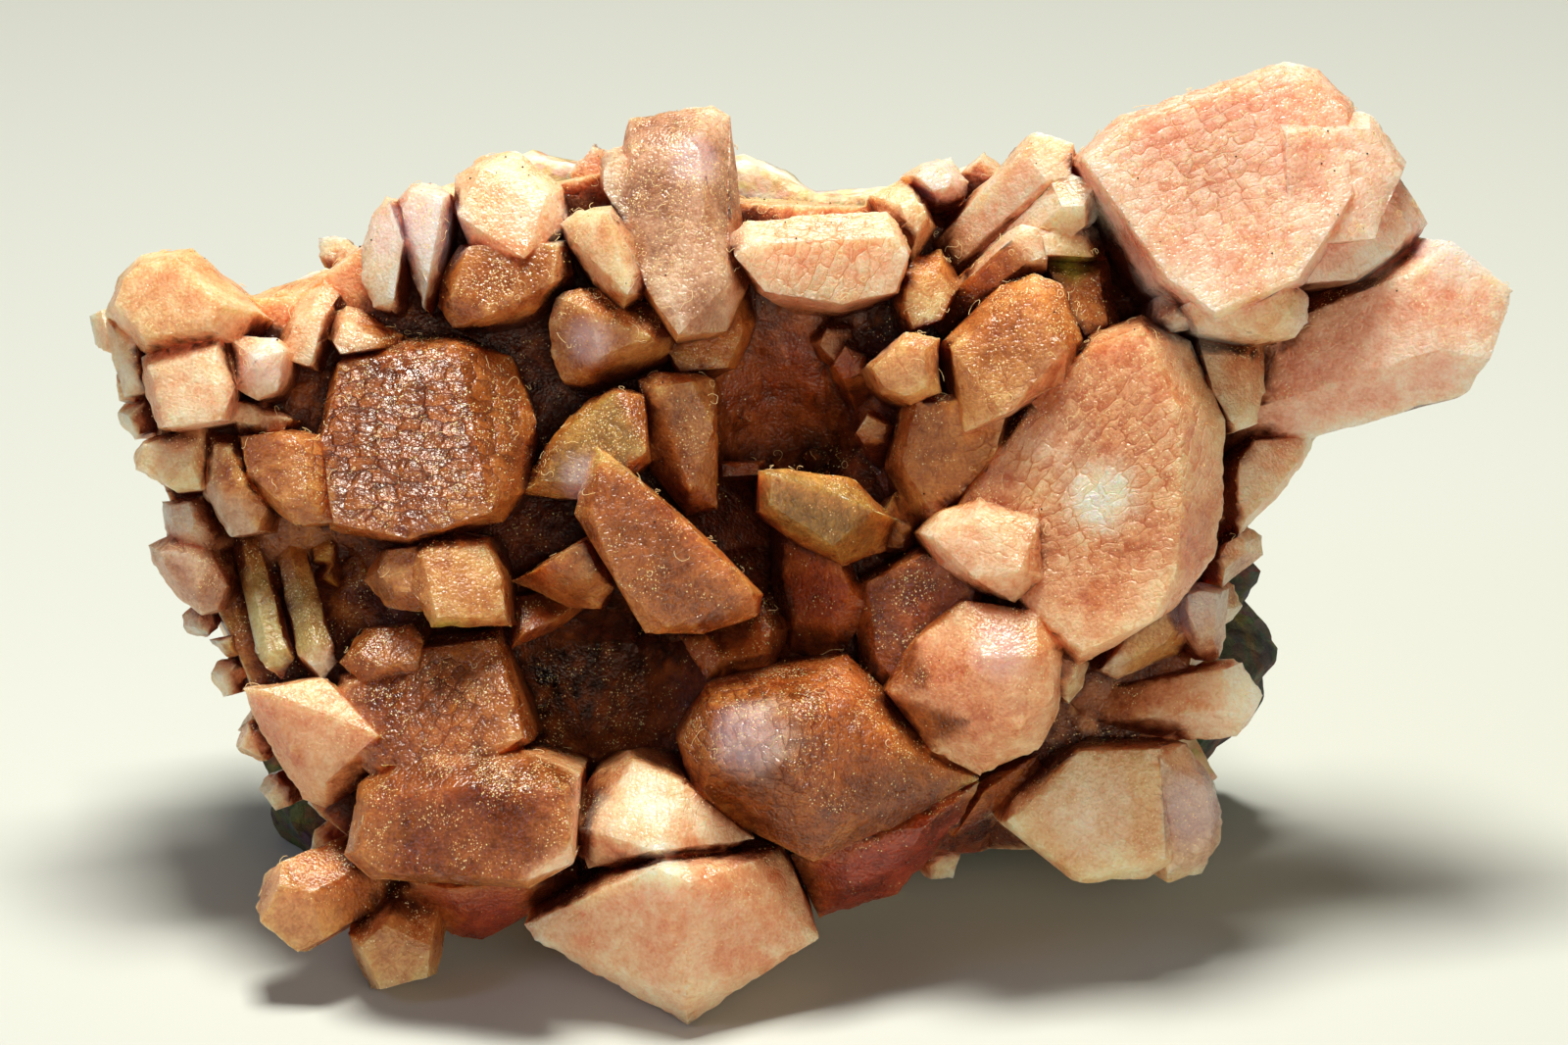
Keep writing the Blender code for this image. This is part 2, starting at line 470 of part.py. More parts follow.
def boolean(obj, operation, operand):
    modifier = obj.modifiers.new(operation.title(), "BOOLEAN")
    modifier.operation = operation
    modifier.solver = "EXACT"
    modifier.use_self = operation == "DIFFERENCE"
    if isinstance(operand, bpy.types.Collection):
        modifier.operand_type = "COLLECTION"
        modifier.collection = operand
    else:
        modifier.object = operand


def settle(obj):
    """Applies the modifiers, cuts the body off at the floor, and keeps the largest of what is left."""
    bpy.context.view_layer.update()
    graph = bpy.context.evaluated_depsgraph_get()
    body = bmesh.new()
    body.from_mesh(obj.evaluated_get(graph).to_mesh())
    obj.modifiers.clear()
    cut_flat(body, Vector((0, 0, 0)), Vector((0, 0, -1)))
    bmesh.ops.dissolve_degenerate(body, dist=5e-7, edges=body.edges)
    bmesh.ops.dissolve_limit(body, angle_limit=math.radians(0.4), verts=body.verts, edges=body.edges)
    bmesh.ops.triangulate(body, faces=body.faces)
    islands, seen = [], set()
    for start in body.verts:
        if start in seen:
            continue
        island, front = set(), [start]
        while front:
            v = front.pop()
            if v in island:
                continue
            island.add(v)
            front += [e.other_vert(v) for e in v.link_edges]
        seen |= island
        islands.append(island)
    islands.sort(key=len)
    for island in islands[:-1]:
        bmesh.ops.delete(body, geom=list(island), context="VERTS")
    body.to_mesh(obj.data)
    body.free()


def along(outline, share):
    """A spot on a closed outline, and the way out of the specimen there."""
    count = len(outline)
    i = int(share * count)
    a, b = Vector(outline[i % count]), Vector(outline[(i + 1) % count])
    spot = a.lerp(b, share * count - i)
    return spot, (spot - Vector(HEART[:2])).normalized()


def rim_crystals(rng):
    """Small prisms that stand out of the bed all round its rim."""
    for i in range(RIM_COUNT):
        spot, out = along(BED_OUTLINE, (i + rng.uniform(-0.3, 0.3)) % RIM_COUNT / RIM_COUNT)
        width, length = rng.uniform(*RIM_WIDTH), rng.uniform(*RIM_LENGTH)
        deep = rng.uniform(120, 200)
        lean = rng.uniform(-0.75, 0.55)
        root = (spot.x - out.x * 62, spot.y - out.y * 62, deep)
        reach = length * math.cos(lean)
        tip = (root[0] + out.x * reach, root[1] + out.y * reach, deep + length * math.sin(lean))
        if place(tip).z < width * STEP:
            continue
        yield prism_crystal(root, tip, width, rng.uniform(0.75, 1), rng.uniform(0, 60), rng.uniform(0.45, 0.8))


def in_hollow(across, down):
    return bed_depth(across, down) > 20


def fill_crystals(rng):
    """Small prisms that look out from the bed between the large crystals."""
    made = 0
    while made < FILL_COUNT:
        across, down = rng.uniform(250, 1180), rng.uniform(290, 860)
        lean = Vector((rng.uniform(-0.6, 0.6), rng.uniform(-0.6, 0.5), -1)).normalized()
        width, length = rng.uniform(*FILL_WIDTH), rng.uniform(*FILL_LENGTH)
        turn, steepness = rng.uniform(0, 60), rng.uniform(0.5, 0.9)
        if in_hollow(across, down):
            continue
        root = Vector((across, down, 150))
        made += 1
        yield prism_crystal(root, root + lean * length, width, 0.9, turn, steepness)


def druse_in_hollows(rng):
    """The smallest crystals, which line the hollows."""
    for x, y, half_width, half_height, steps in HOLLOWS:
        for i in range(3):
            angle = (i + rng.uniform(0, 0.6)) * math.tau / 3
            across = x + math.cos(angle) * half_width * 0.6
            down = y + math.sin(angle) * half_height * 0.6
            root = Vector((across, down, BED_FRONT + steps * 0.9 + 30))
            tip = root + Vector((rng.uniform(-22, 22), rng.uniform(-22, 22), -58))
            yield prism_crystal(root, tip, rng.uniform(26, 40), 0.9, rng.uniform(0, 60), 0.7)


def make_rock():
    body = rough_plate(ROCK_OUTLINE, ROCK_FRONT, ROCK_BACK, 120, 36, 3.3)
    for spot, way in ROCK_BREAKS:
        cut_flat(body, Vector(spot) * STEP, Vector(way).normalized())
    cut_flat(body, Vector((0, 0, 0)), Vector((0, 0, -1)))
    return add_object("host_rock", body)


def make_band(rock_cutter):
    band = add_object("pale_calcite_band", rough_plate(BAND_OUTLINE, BAND_FRONT, BAND_BACK, 190, 24, 7.1))
    boolean(band, "DIFFERENCE", rock_cutter)
    settle(band)
    return band


def make_cluster(rock_cutter, band_cutter):
    crystals = bpy.data.collections.new("crystals")
    bpy.context.scene.collection.children.link(crystals)
    for name, size in FACED.items():
        add_object(name, faced_crystal(name, *size), crystals)
    for name, size in PRISMS.items():
        add_object(name, prism_crystal(*size), crystals)
    rng = random.Random(17)
    for maker in (rim_crystals, fill_crystals, druse_in_hollows):
        for i, body in enumerate(maker(rng)):
            add_object(f"{maker.__name__}_{i:02d}", body, crystals)
    for crystal in crystals.objects:
        crystal.hide_render = True
        crystal.display_type = "WIRE"
    cluster = add_object("calcite_cluster", rough_plate(BED_OUTLINE, BED_FRONT, BED_BACK, 140, 20, 1.7, hollowed=True))
    boolean(cluster, "UNION", crystals)
    boolean(cluster, "DIFFERENCE", band_cutter)
    boolean(cluster, "DIFFERENCE", rock_cutter)
    settle(cluster)
    return cluster


def main():
    clear_scene()
    rock = make_rock()
    rock_cutter = swollen(rock, "rock_cutter", GAP)
    band = make_band(rock_cutter)
    band_cutter = swollen(band, "band_cutter", GAP)
    cluster = make_cluster(rock_cutter, band_cutter)
    for obj, colour, roughness in (
        (rock, (0.075, 0.07, 0.05), 0.9),
        (band, (0.78, 0.70, 0.56), 0.7),
        (cluster, (0.80, 0.42, 0.27), 0.3),
    ):
        obj.data.materials.clear()
        obj.data.materials.append(mineral(obj.name, colour, roughness))


main()
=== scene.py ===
"""Finishes the calcite specimen: salmon-pink crystals on a pale band and dark host rock, with the
dust and lint that lie on them. Names that end in _MM are millimetres. A spot is (across, down, deep)
on the drawing grid: across and down are steps on the page, and deep is the steps behind the plane
through the front tip."""

import math
import random

import bmesh
import bpy
from bpy.props import FloatProperty, IntProperty, PointerProperty, StringProperty
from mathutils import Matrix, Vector, noise
from mathutils.bvhtree import BVHTree


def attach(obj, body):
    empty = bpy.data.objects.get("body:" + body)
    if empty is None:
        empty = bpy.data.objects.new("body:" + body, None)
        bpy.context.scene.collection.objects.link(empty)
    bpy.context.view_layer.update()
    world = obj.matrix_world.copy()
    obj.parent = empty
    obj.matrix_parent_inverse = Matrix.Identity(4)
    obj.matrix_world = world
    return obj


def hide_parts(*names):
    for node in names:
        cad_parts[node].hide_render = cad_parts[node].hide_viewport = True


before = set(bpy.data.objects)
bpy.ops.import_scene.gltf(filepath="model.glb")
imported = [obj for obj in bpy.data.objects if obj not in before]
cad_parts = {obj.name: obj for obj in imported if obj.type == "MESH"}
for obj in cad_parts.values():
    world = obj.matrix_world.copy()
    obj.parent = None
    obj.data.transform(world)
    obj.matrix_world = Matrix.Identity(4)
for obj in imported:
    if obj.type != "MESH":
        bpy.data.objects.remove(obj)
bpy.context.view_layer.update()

bl_info = {
    "name": "Calcite specimen",
    "version": (1, 0, 0),
    "blender": (4, 5, 0),
    "location": "3D View > Sidebar > Calcite",
    "description": "Crystals, pale band, host rock and dust of a calcite specimen",
    "category": "Add Mesh",
}

MM = 0.001

# The drawing grid, and where it is seen from, in metres.
SPECIMEN_WIDTH = 0.089
WIDTH_IN_STEPS = 1483
STEP = SPECIMEN_WIDTH / WIDTH_IN_STEPS
VIEW_TILT = math.radians(25)
VIEW_DISTANCE = 0.432

# In steps of the grid.
PAGE_MIDDLE = (800, 533)
PAGE_WIDTH = 1600
FRONT_TIP_DOWN = 1049
FOOT_BEHIND = 430
HEART = (720, 560, 330)  # the spot in the bed that the crystals grow away from

SKIN_EDGE_MM = 1.0  # the longest mesh edge inside the crystals' facets
RIM_EDGE_MM = 0.45  # the longest mesh edge between two facets
BAND_EDGE_MM = 0.9
ROCK_EDGE_MM = 0.8
MERGE_MM = 0.001
MOST_ROUNDS = 8  # of splitting edges
LEAST_AREA = 1e-12
RIM_ANGLE = math.radians(5)  # faces that meet at more than this have a rim between them
SAME_FACET = 0.9994  # the least dot product of the normals of two faces in one facet

CHIP_MM = 0.30  # how far the crystals' edges are worn back
NOTCHES = ((900, 0.6), (2400, 0.5))  # waves per metre along the edges, and how much each counts
NOTCH_WORN = 0.15  # added to the notches, so that the edges between them are worn a little too
RIPPLE_WAVES, RIPPLE_MM = 420, 0.12
SHRINK_MM = 0.03  # how far every facet is set back
BAND_RELIEF_MM = [(4.0, 0.7), (1.5, 0.35)]  # how wide its bumps are, and how deep
ROCK_RELIEF_MM = [(9.0, 1.2), (3.0, 0.7), (1.4, 0.3)]
FOOT_MM = 0.01  # what is lower than this lies on the floor

HOLLOW_REACH_MM = 13.0  # a surface counts as hollow where others stand this near in front of it
HOLLOW_RAYS = 12
RAY_SPREAD = 0.98  # under 1, so that no ray runs along the surface
RAY_START_MM = 0.12  # rays start this far off a surface, so that they miss it
FAR_LESS = 0.6  # how much less a surface hides at the end of the reach
HOLLOW_GAIN, HOLLOW_START = 1.5, 0.22
THIN_MM = 6.0  # crystals thinner than this let light through, and are painted paler: painted light at tips and edges

# Light's way through the calcite is an exponent of its colour: a longer way comes out darker and redder. The
# thin and hollow terms are painted light and shade: thin tips and edges are painted paler, and hollows are
# painted darker.
WAY_PLAIN, WAY_VARIES, WAY_THIN_PAINTED_LIGHT, WAY_HOLLOW_PAINTED_SHADE = 1.38, 0.3, -1.15, 0.3
PAINTED_GLOW_MOST, PAINTED_GLOW_GAIN = 0.75, 1.6
PAINTED_SHADE_START, PAINTED_SHADE_GAIN = 0.38, 2.8
CORE_GAIN, CORE_RAGGED, CORE_WAVES, CORE_POWER = 1.6, 0.25, 900, 1.2
STAIN_GAIN, STAIN_FULL, STAIN_WAVES = 1.6, 0.7, 1500
CLEAR_THIN, CLEAR_START, CLEAR_WHITE = 0.6, 0.32, 0.3  # thin edges let light through, milky cores don't
STEPS_LEAST, STEPS_MOST, STEPS_GAIN = 0.12, 1.0, 1.4
SHINE_MOST, SHINE_GAIN = 0.42, 0.9
DUST_UP, DUST_LEAST, DUST_HOLLOW = 0.9, 0.15, 0.6  # dust lies on faces that look up, and less in hollows
FARTHEST_TINT = 1.6  # a crystal's tint ends at this many times its reach
MOST_SHIFT_MM = 40  # the growth plates of each facet start elsewhere in their pattern

# Painted light and shade in the calcite, sRGB hex: an orange glow painted into the hollows, a dark shade
# painted into the deepest ones, the milky cores' own white, and a lavender reflection painted on shining
# facets.
PAINTED_HOLLOW_GLOW, PAINTED_HOLLOW_SHADE, MILK, PAINTED_LAVENDER_SHEEN = "cc6c2c", "54200c", "fff3dc", "e6d2da"

# Dust and lint: the widths of the grains as shares of the grain size, and the space in metres that they
# fall from.
GRAIN_WIDTHS = (0.5, 0.6, 0.8, 1.0, 1.5)
SPECK_COUNT, SPECK_SIZE, SPECK_COLOUR = 170, 1.4, "17120d"
FALL_ACROSS, FALL_ALONG, FALL_FROM = (-0.042, 0.044), (-0.026, 0.002), 0.07
FALL_BACK = 0.02
LOWEST_DUST = 0.002
STRIDE_MM = (0.07, 0.15)  # from one knot of a fibre to the next
LIFT_MM = (0.05, 0.3)
FIBRE_KNOTS = (6, 15)
MOST_CURL, CURL_CHANGE = 0.9, 0.35

# The floor sheet, in metres.
FLOOR_FRONT, FLOOR_BACK = -0.9, 0.45
FLOOR_HALF_WIDTH = 1.4
SWEEP_RADIUS, SWEEP_ANGLE, SWEEP_PIECES = 0.35, math.radians(80), 24
WALL_RUN = (0, 0.12, 1.0)

SENSOR_MM = 36

# Each light's name, place, size, power in watts and colour.
LIGHTS = [
    ("key_above", (-0.01, 0.03, 0.36), (0.13, 0.09), 1.9, "fff9ee"),
    ("window_left", (-0.34, -0.16, 0.24), (0.12, 0.16), 0.22, "d8d8ff"),
    ("fill_front", (0.10, -0.42, 0.16), (0.30, 0.22), 0.6, "ffeed8"),
]
LIT_SPOT = (0, -0.01, 0.025)
ROOM_COLOUR, ROOM_LIGHT = "c8cec4", 0.07

# The calcite's colours, sRGB hex. The three darkest, rose, ember and the last one, are partly their own
# colour and partly painted shade, for crystals on a shaded flank, under others and deep in the vug.
TINTS = {
    "shell": "f2cdb6", "peach": "f2c6a2", "honey": "ecc598", "salmon": "e8b48a", "tan": "c48a50",
    "amber": "a86a32", "olive": "9c7636", "smoke": "c9a487", "rose": "a44a28", "ember": "ac5420",
    "painted_dusk_shade": "7e3c16",
}

# Each crystal's middle, its reach in steps, and its tint.
CRYSTALS = {
    "left shoulder": (182, 300, 50, 70, "honey"), "left block": (190, 392, 30, 50, "peach"),
    "left twin": (262, 372, 20, 40, "peach"), "left cheek": (176, 468, 60, 45, "honey"),
    "left grey": (195, 545, 75, 60, "smoke"), "left grey low": (190, 600, 75, 50, "smoke"),
    "left wedge": (295, 486, 40, 50, "tan"), "saddle": (330, 330, 60, 55, "salmon"),
    "stepped block": (425, 440, 20, 115, "amber"), "pink fin": (392, 260, 40, 55, "peach"),
    "pink wedge": (436, 240, 30, 45, "shell"), "top disc": (528, 212, 35, 60, "peach"),
    "under disc": (515, 292, 20, 55, "tan"), "tilted prism": (610, 255, 10, 50, "honey"),
    "mid pointer": (620, 345, 20, 60, "tan"), "tall block": (690, 200, 20, 95, "smoke"),
    "tall foot": (710, 320, 50, 50, "tan"), "long slab": (845, 268, 0, 90, "peach"),
    "ridge left": (925, 220, 50, 45, "honey"), "ridge cap": (955, 186, 55, 40, "peach"),
    "rib": (1040, 210, 40, 80, "peach"), "ridge base": (948, 292, 35, 40, "tan"),
    "small gem": (925, 374, -20, 42, "tan"), "round face": (1036, 344, -20, 80, "tan"),
    "ridge step": (1092, 240, 25, 38, "honey"), "great plate": (1262, 190, 0, 150, "shell"),
    "great step": (1380, 170, 25, 70, "shell"), "great corner": (1390, 240, 30, 60, "shell"),
    "plate ledge": (1272, 322, -20, 60, "honey"), "orange root": (1264, 385, 25, 50, "salmon"),
    "clear tip": (1420, 340, 60, 140, "shell"), "red flank": (1172, 300, 20, 42, "rose"),
    "right giant": (1118, 486, -40, 150, "salmon"), "giant corner": (1004, 556, -35, 60, "peach"),
    "right blade": (1296, 490, 80, 60, "peach"),
    "right shard": (1230, 635, 70, 50, "smoke"), "right orange": (1176, 650, 60, 50, "tan"),
    "amber prism": (1200, 715, 80, 80, "peach"), "low plate": (1122, 836, 40, 95, "honey"),
    "low plate side": (1212, 826, 70, 50, "smoke"), "hanging gem": (1034, 698, -45, 85, "salmon"),
    "amber wall": (928, 650, 40, 60, "amber"), "amber upper": (972, 462, 20, 60, "tan"),
    "central blade": (672, 562, -20, 100, "amber"), "blade shadow": (604, 456, 10, 60, "olive"),
    "window pillar": (694, 440, 20, 60, "amber"), "window": (800, 430, 120, 80, "ember"),
    "olive gem": (838, 522, 0, 65, "olive"), "under blade": (592, 588, 20, 50, "amber"),
    "ember": (590, 660, 80, 90, "painted_dusk_shade"), "ember wall": (800, 600, 80, 70, "ember"),
    "gold gem": (470, 595, -10, 60, "tan"), "gold shelf": (392, 640, 35, 50, "amber"),
    "olive ribs": (290, 610, 60, 60, "olive"), "brown block": (444, 716, 10, 100, "amber"),
    "low left": (318, 752, 30, 70, "salmon"), "front left": (456, 836, -40, 120, "amber"),
    "left foot": (320, 910, 30, 70, "tan"), "stand foot": (400, 960, 50, 60, "tan"),
    "foot red": (500, 920, 65, 70, "rose"), "front low": (680, 930, -30, 130, "peach"),
    "front low back": (640, 815, 0, 80, "honey"), "front mid": (810, 760, -30, 130, "amber"),
    "under mid": (900, 880, 50, 70, "rose"), "low dark": (1010, 820, 90, 60, "painted_dusk_shade"),
}

# Where the plates of a crystal grow from, where it isn't the heart of the cluster.
GROWN_FROM = {"stepped block": (1000, 470, 40), "right giant": (960, 640, 40)}

# Milky white cores inside crystals: a spot, its reach in steps, and its strength.
CORES = [
    ((1122, 502, -62), 52, 1.0), ((672, 880, -84), 46, 1.0), ((640, 812, -50), 62, 0.8),
    ((1148, 205, 8), 58, 0.7), ((1110, 820, 40), 60, 0.5), ((545, 220, 30), 48, 0.5),
    ((1235, 330, -20), 60, 0.5), ((1190, 285, 0), 50, 0.5), ((1400, 255, 20), 50, 0.4),
    ((1520, 300, 70), 30, 0.7), ((1448, 292, 50), 22, 0.6), ((780, 750, -60), 50, 0.35),
    ((1075, 455, -40), 50, 0.35),
]

# Stains of olive and of black iron on the crystals, and dark patches deep in the vug: a spot, its reach in
# steps, and its colour.
STAINS_AND_DARK_PATCHES = [
    ((322, 642, 20), 36, "a89a3c"), ((455, 636, -5), 32, "b0a04a"), ((566, 298, 20), 18, "1c120a"),
    ((1262, 440, 60), 20, "241409"), ((362, 792, 10), 16, "120c08"), ((1096, 268, 20), 26, "a89a3c"),
    # Dark patches on the floor and back of the vug, behind the crystals.
    ((585, 690, 120), 105, "240d06"), ((660, 650, 130), 80, "32120a"), ((830, 470, 130), 50, "3c1c0c"),
]

# Facets that are glossier, with a lavender reflection painted on them: a spot and its reach in steps.
SHINES = [
    ((600, 490, 0), 34), ((762, 752, -58), 46), ((440, 232, 20), 46), ((1216, 612, 70), 40),
    ((1214, 822, 70), 50), ((1482, 250, 40), 46), ((600, 348, 0), 30), ((1020, 664, -60), 36),
    ((395, 235, 40), 36), ((712, 160, 10), 36), ((960, 180, 60), 30), ((270, 372, 20), 30),
]

# Facets with growth steps: a spot, its reach in steps, and its strength.
STEPPED = [
    ((410, 440, 10), 130, 1.6), ((1120, 480, -40), 150, 0.8), ((1230, 150, 0), 140, 0.6),
    ((760, 740, -40), 120, 0.7), ((840, 270, 0), 90, 0.4), ((450, 700, 10), 80, 0.7),
]


def place(spot):
    """The world point, in metres, of a spot on the drawing grid."""
    across, down, deep = spot
    spread = 1 + deep * STEP / VIEW_DISTANCE
    right = (across - PAGE_MIDDLE[0]) * spread
    up = (PAGE_MIDDLE[1] - down) * spread + FRONT_TIP_DOWN - PAGE_MIDDLE[1]
    sine, cosine = math.sin(VIEW_TILT), math.cos(VIEW_TILT)
    return Vector((right, up * sine + deep * cosine - FOOT_BEHIND, up * cosine - deep * sine)) * STEP


def linear(colour):
    """The linear colour of an sRGB hex value."""
    values = [int(colour[i : i + 2], 16) / 255 for i in (0, 2, 4)]
    return tuple(v / 12.92 if v <= 0.04045 else ((v + 0.055) / 1.055) ** 2.4 for v in values)


def add_node(tree, kind, settings=None, **links):
    """Adds a node. A setting is a property of the node, or else a value of one of its input sockets.
    A link feeds the socket of its name, or of its number after an i."""
    node = tree.nodes.new(kind)
    for key, value in (settings or {}).items():
        if isinstance(key, str) and hasattr(node, key):
            setattr(node, key, value)
        else:
            node.inputs[key].default_value = value
    for name, source in links.items():
        socket = int(name[1:]) if name[1:].isdigit() else name.replace("_", " ")
        tree.links.new(source, node.inputs[socket])
    return node


def new_material(name, **values):
    """A material with a Principled shader, and the values of the shader's own sockets."""
    material = bpy.data.materials.new(name)
    material.use_nodes = True
    shader = material.node_tree.nodes["Principled BSDF"]
    for key, value in values.items():
        shader.inputs[key.replace("_", " ")].default_value = value
    return material, material.node_tree, shader


def ramp(tree, source, stops):
    """A colour ramp through stops of (place, hex colour or grey)."""
    node = add_node(tree, "ShaderNodeValToRGB", None, Fac=source)
    while len(node.color_ramp.elements) < len(stops):
        node.color_ramp.elements.new(0.5)
    for element, (position, colour) in zip(node.color_ramp.elements, stops):
        element.position = position
        element.color = (*(linear(colour) if isinstance(colour, str) else (colour,) * 3), 1)
    return node.outputs["Color"]


def calculate(tree, operation, *values):
    """The result of a Math node. Each value is a float or the output of another node."""
    numbers = {i: value for i, value in enumerate(values) if isinstance(value, float)}
    links = {f"i{i}": value for i, value in enumerate(values) if not isinstance(value, float)}
    return add_node(tree, "ShaderNodeMath", {"operation": operation, **numbers}, **links).outputs["Value"]


def soft_light(tree, share, colour, pattern):
    """A colour made lighter and darker by a share of a pattern."""
    settings = {"data_type": "RGBA", "blend_type": "SOFT_LIGHT", 0: share}
    return add_node(tree, "ShaderNodeMix", settings, i6=colour, i7=pattern).outputs[2]


def paint_over(tree, share, colour, paint):
    """A colour with a hex colour painted over it, where the share is 1."""
    settings = {"data_type": "RGBA", 7: (*linear(paint), 1)}
    return add_node(tree, "ShaderNodeMix", settings, i0=share, i6=colour).outputs[2]


def add_relief(tree, shader, height, depth_mm):
    """Gives the shader's surface a relief from a height."""
    bump = add_node(tree, "ShaderNodeBump", {"Strength": 1.0, "Distance": depth_mm * MM}, Height=height)
    tree.links.new(bump.outputs["Normal"], shader.inputs["Normal"])


def noise_pattern(tree, places, scale, detail, roughness):
    """Noise from 0 to 1, its scale in waves per metre."""
    settings = {"Scale": scale, "Detail": detail, "Roughness": roughness}
    return add_node(tree, "ShaderNodeTexNoise", settings, Vector=places).outputs["Fac"]


def shingles(tree, growth, wide, high, seed):
    """The height of grown plates of a size in millimetres, each tilted its own way, and the cracks
    between them."""
    settings = {"Location": (seed, seed, 0), "Scale": (1 / wide, 1 / high, 1)}
    sized = add_node(tree, "ShaderNodeMapping", settings, Vector=growth).outputs["Vector"]
    looks = {"voronoi_dimensions": "2D", "distance": "CHEBYCHEV", "Scale": 1.0, "Randomness": 0.7}
    cells = add_node(tree, "ShaderNodeTexVoronoi", looks, Vector=sized)
    others = add_node(tree, "ShaderNodeTexVoronoi", {**looks, "feature": "F2"}, Vector=sized)
    apart = calculate(tree, "SUBTRACT", others.outputs["Distance"], cells.outputs["Distance"])
    cracks = ramp(tree, apart, [(0.0, 1.0), (0.13, 0.0)])
    within = add_node(
        tree, "ShaderNodeVectorMath", {"operation": "SUBTRACT"}, i0=sized, i1=cells.outputs["Position"]
    ).outputs["Vector"]
    settings = {"operation": "SUBTRACT", 1: (0.1, 0.0, 0.5)}
    lean = add_node(tree, "ShaderNodeVectorMath", settings, i0=cells.outputs["Color"]).outputs["Vector"]
    rise = add_node(tree, "ShaderNodeVectorMath", {"operation": "DOT_PRODUCT"}, i0=within, i1=lean)
    return rise.outputs["Value"], cracks


def grown_plates(tree, steps, cloud):
    """Coarse plates with fine ones on them, and their cracks, where a facet has growth steps. Their
    borders wander a little. The UV map is in millimetres on each facet."""
    growth = add_node(tree, "ShaderNodeUVMap", {"uv_map": "growth"}).outputs["UV"]
    wobble = add_node(tree, "ShaderNodeTexNoise", {"Scale": 1.1, "Detail": 1}, Vector=growth)
    settings = {"operation": "MULTIPLY_ADD", 1: (0.6, 0.6, 0)}
    warped = add_node(
        tree, "ShaderNodeVectorMath", settings, i0=wobble.outputs["Color"], i2=growth
    ).outputs["Vector"]
    coarse, coarse_cracks = shingles(tree, warped, 1.5, 0.8, 3.0)
    fine, fine_cracks = shingles(tree, warped, 0.55, 0.3, 11.0)
    plates = calculate(tree, "MULTIPLY_ADD", fine, 0.28, coarse)
    plates = calculate(tree, "MULTIPLY", plates, steps)
    broken = ramp(tree, cloud, [(0.40, 0.0), (0.56, 1.0)])
    cracks = calculate(tree, "MULTIPLY_ADD", fine_cracks, 0.35, coarse_cracks)
    cracks = calculate(tree, "MULTIPLY", cracks, steps)
    cracks = calculate(tree, "MULTIPLY", cracks, broken)
    return plates, cracks


def veiled_colour(tree, tint, grain, lumps, cloud, plates, cracks):
    """The tint with milky clouds and veils. Grains and lumps differ a little, each plate is painted lighter
    towards one side, and the cracks get painted shade.
    """
    veil = ramp(tree, cloud, [(0.36, 0.06), (0.64, 0.94)])
    veiled = soft_light(tree, 0.65, tint, veil)
    # Painted light on the growth steps: the plates' rise makes each plate lighter towards one side, mostly
    # the same side.
    mottle = calculate(tree, "MULTIPLY_ADD", plates, 1.1, lumps)
    mottle = calculate(tree, "MULTIPLY_ADD", grain, 0.6, mottle)
    mottle = ramp(tree, mottle, [(0.5, 0.08), (0.8, 0.48), (1.0, 0.82)])
    varied = soft_light(tree, 0.6, veiled, mottle)
    # Painted shade in the cracks between plates: a darker, redder colour.
    deep = add_node(tree, "ShaderNodeGamma", {"Gamma": 1.9}, Color=varied).outputs["Color"]
    settings = {"data_type": "RGBA"}
    return add_node(tree, "ShaderNodeMix", settings, i0=cracks, i6=varied, i7=deep).outputs[2]


def golden_frost(tree, places, colour, frost):
    """The colour under golden dust too fine to model: grains 0.06 to 0.1 mm wide, in patches."""
    patches = ramp(tree, noise_pattern(tree, places, 420, 4, 0.65), [(0.42, 0.0), (0.60, 1.0)])
    dust = calculate(tree, "MULTIPLY", patches, frost)
    for scale, grain_colour in ((8200, "eec887"), (5200, "fbe3b0")):
        cells = add_node(tree, "ShaderNodeTexVoronoi", {"Scale": scale}, Vector=places)
        spot = ramp(tree, cells.outputs["Distance"], [(0.20, 1.0), (0.32, 0.0)])
        kept = calculate(tree, "LESS_THAN", cells.outputs["Color"], dust)
        spot = calculate(tree, "MULTIPLY", spot, kept)
        colour = paint_over(tree, spot, colour, grain_colour)
    return colour


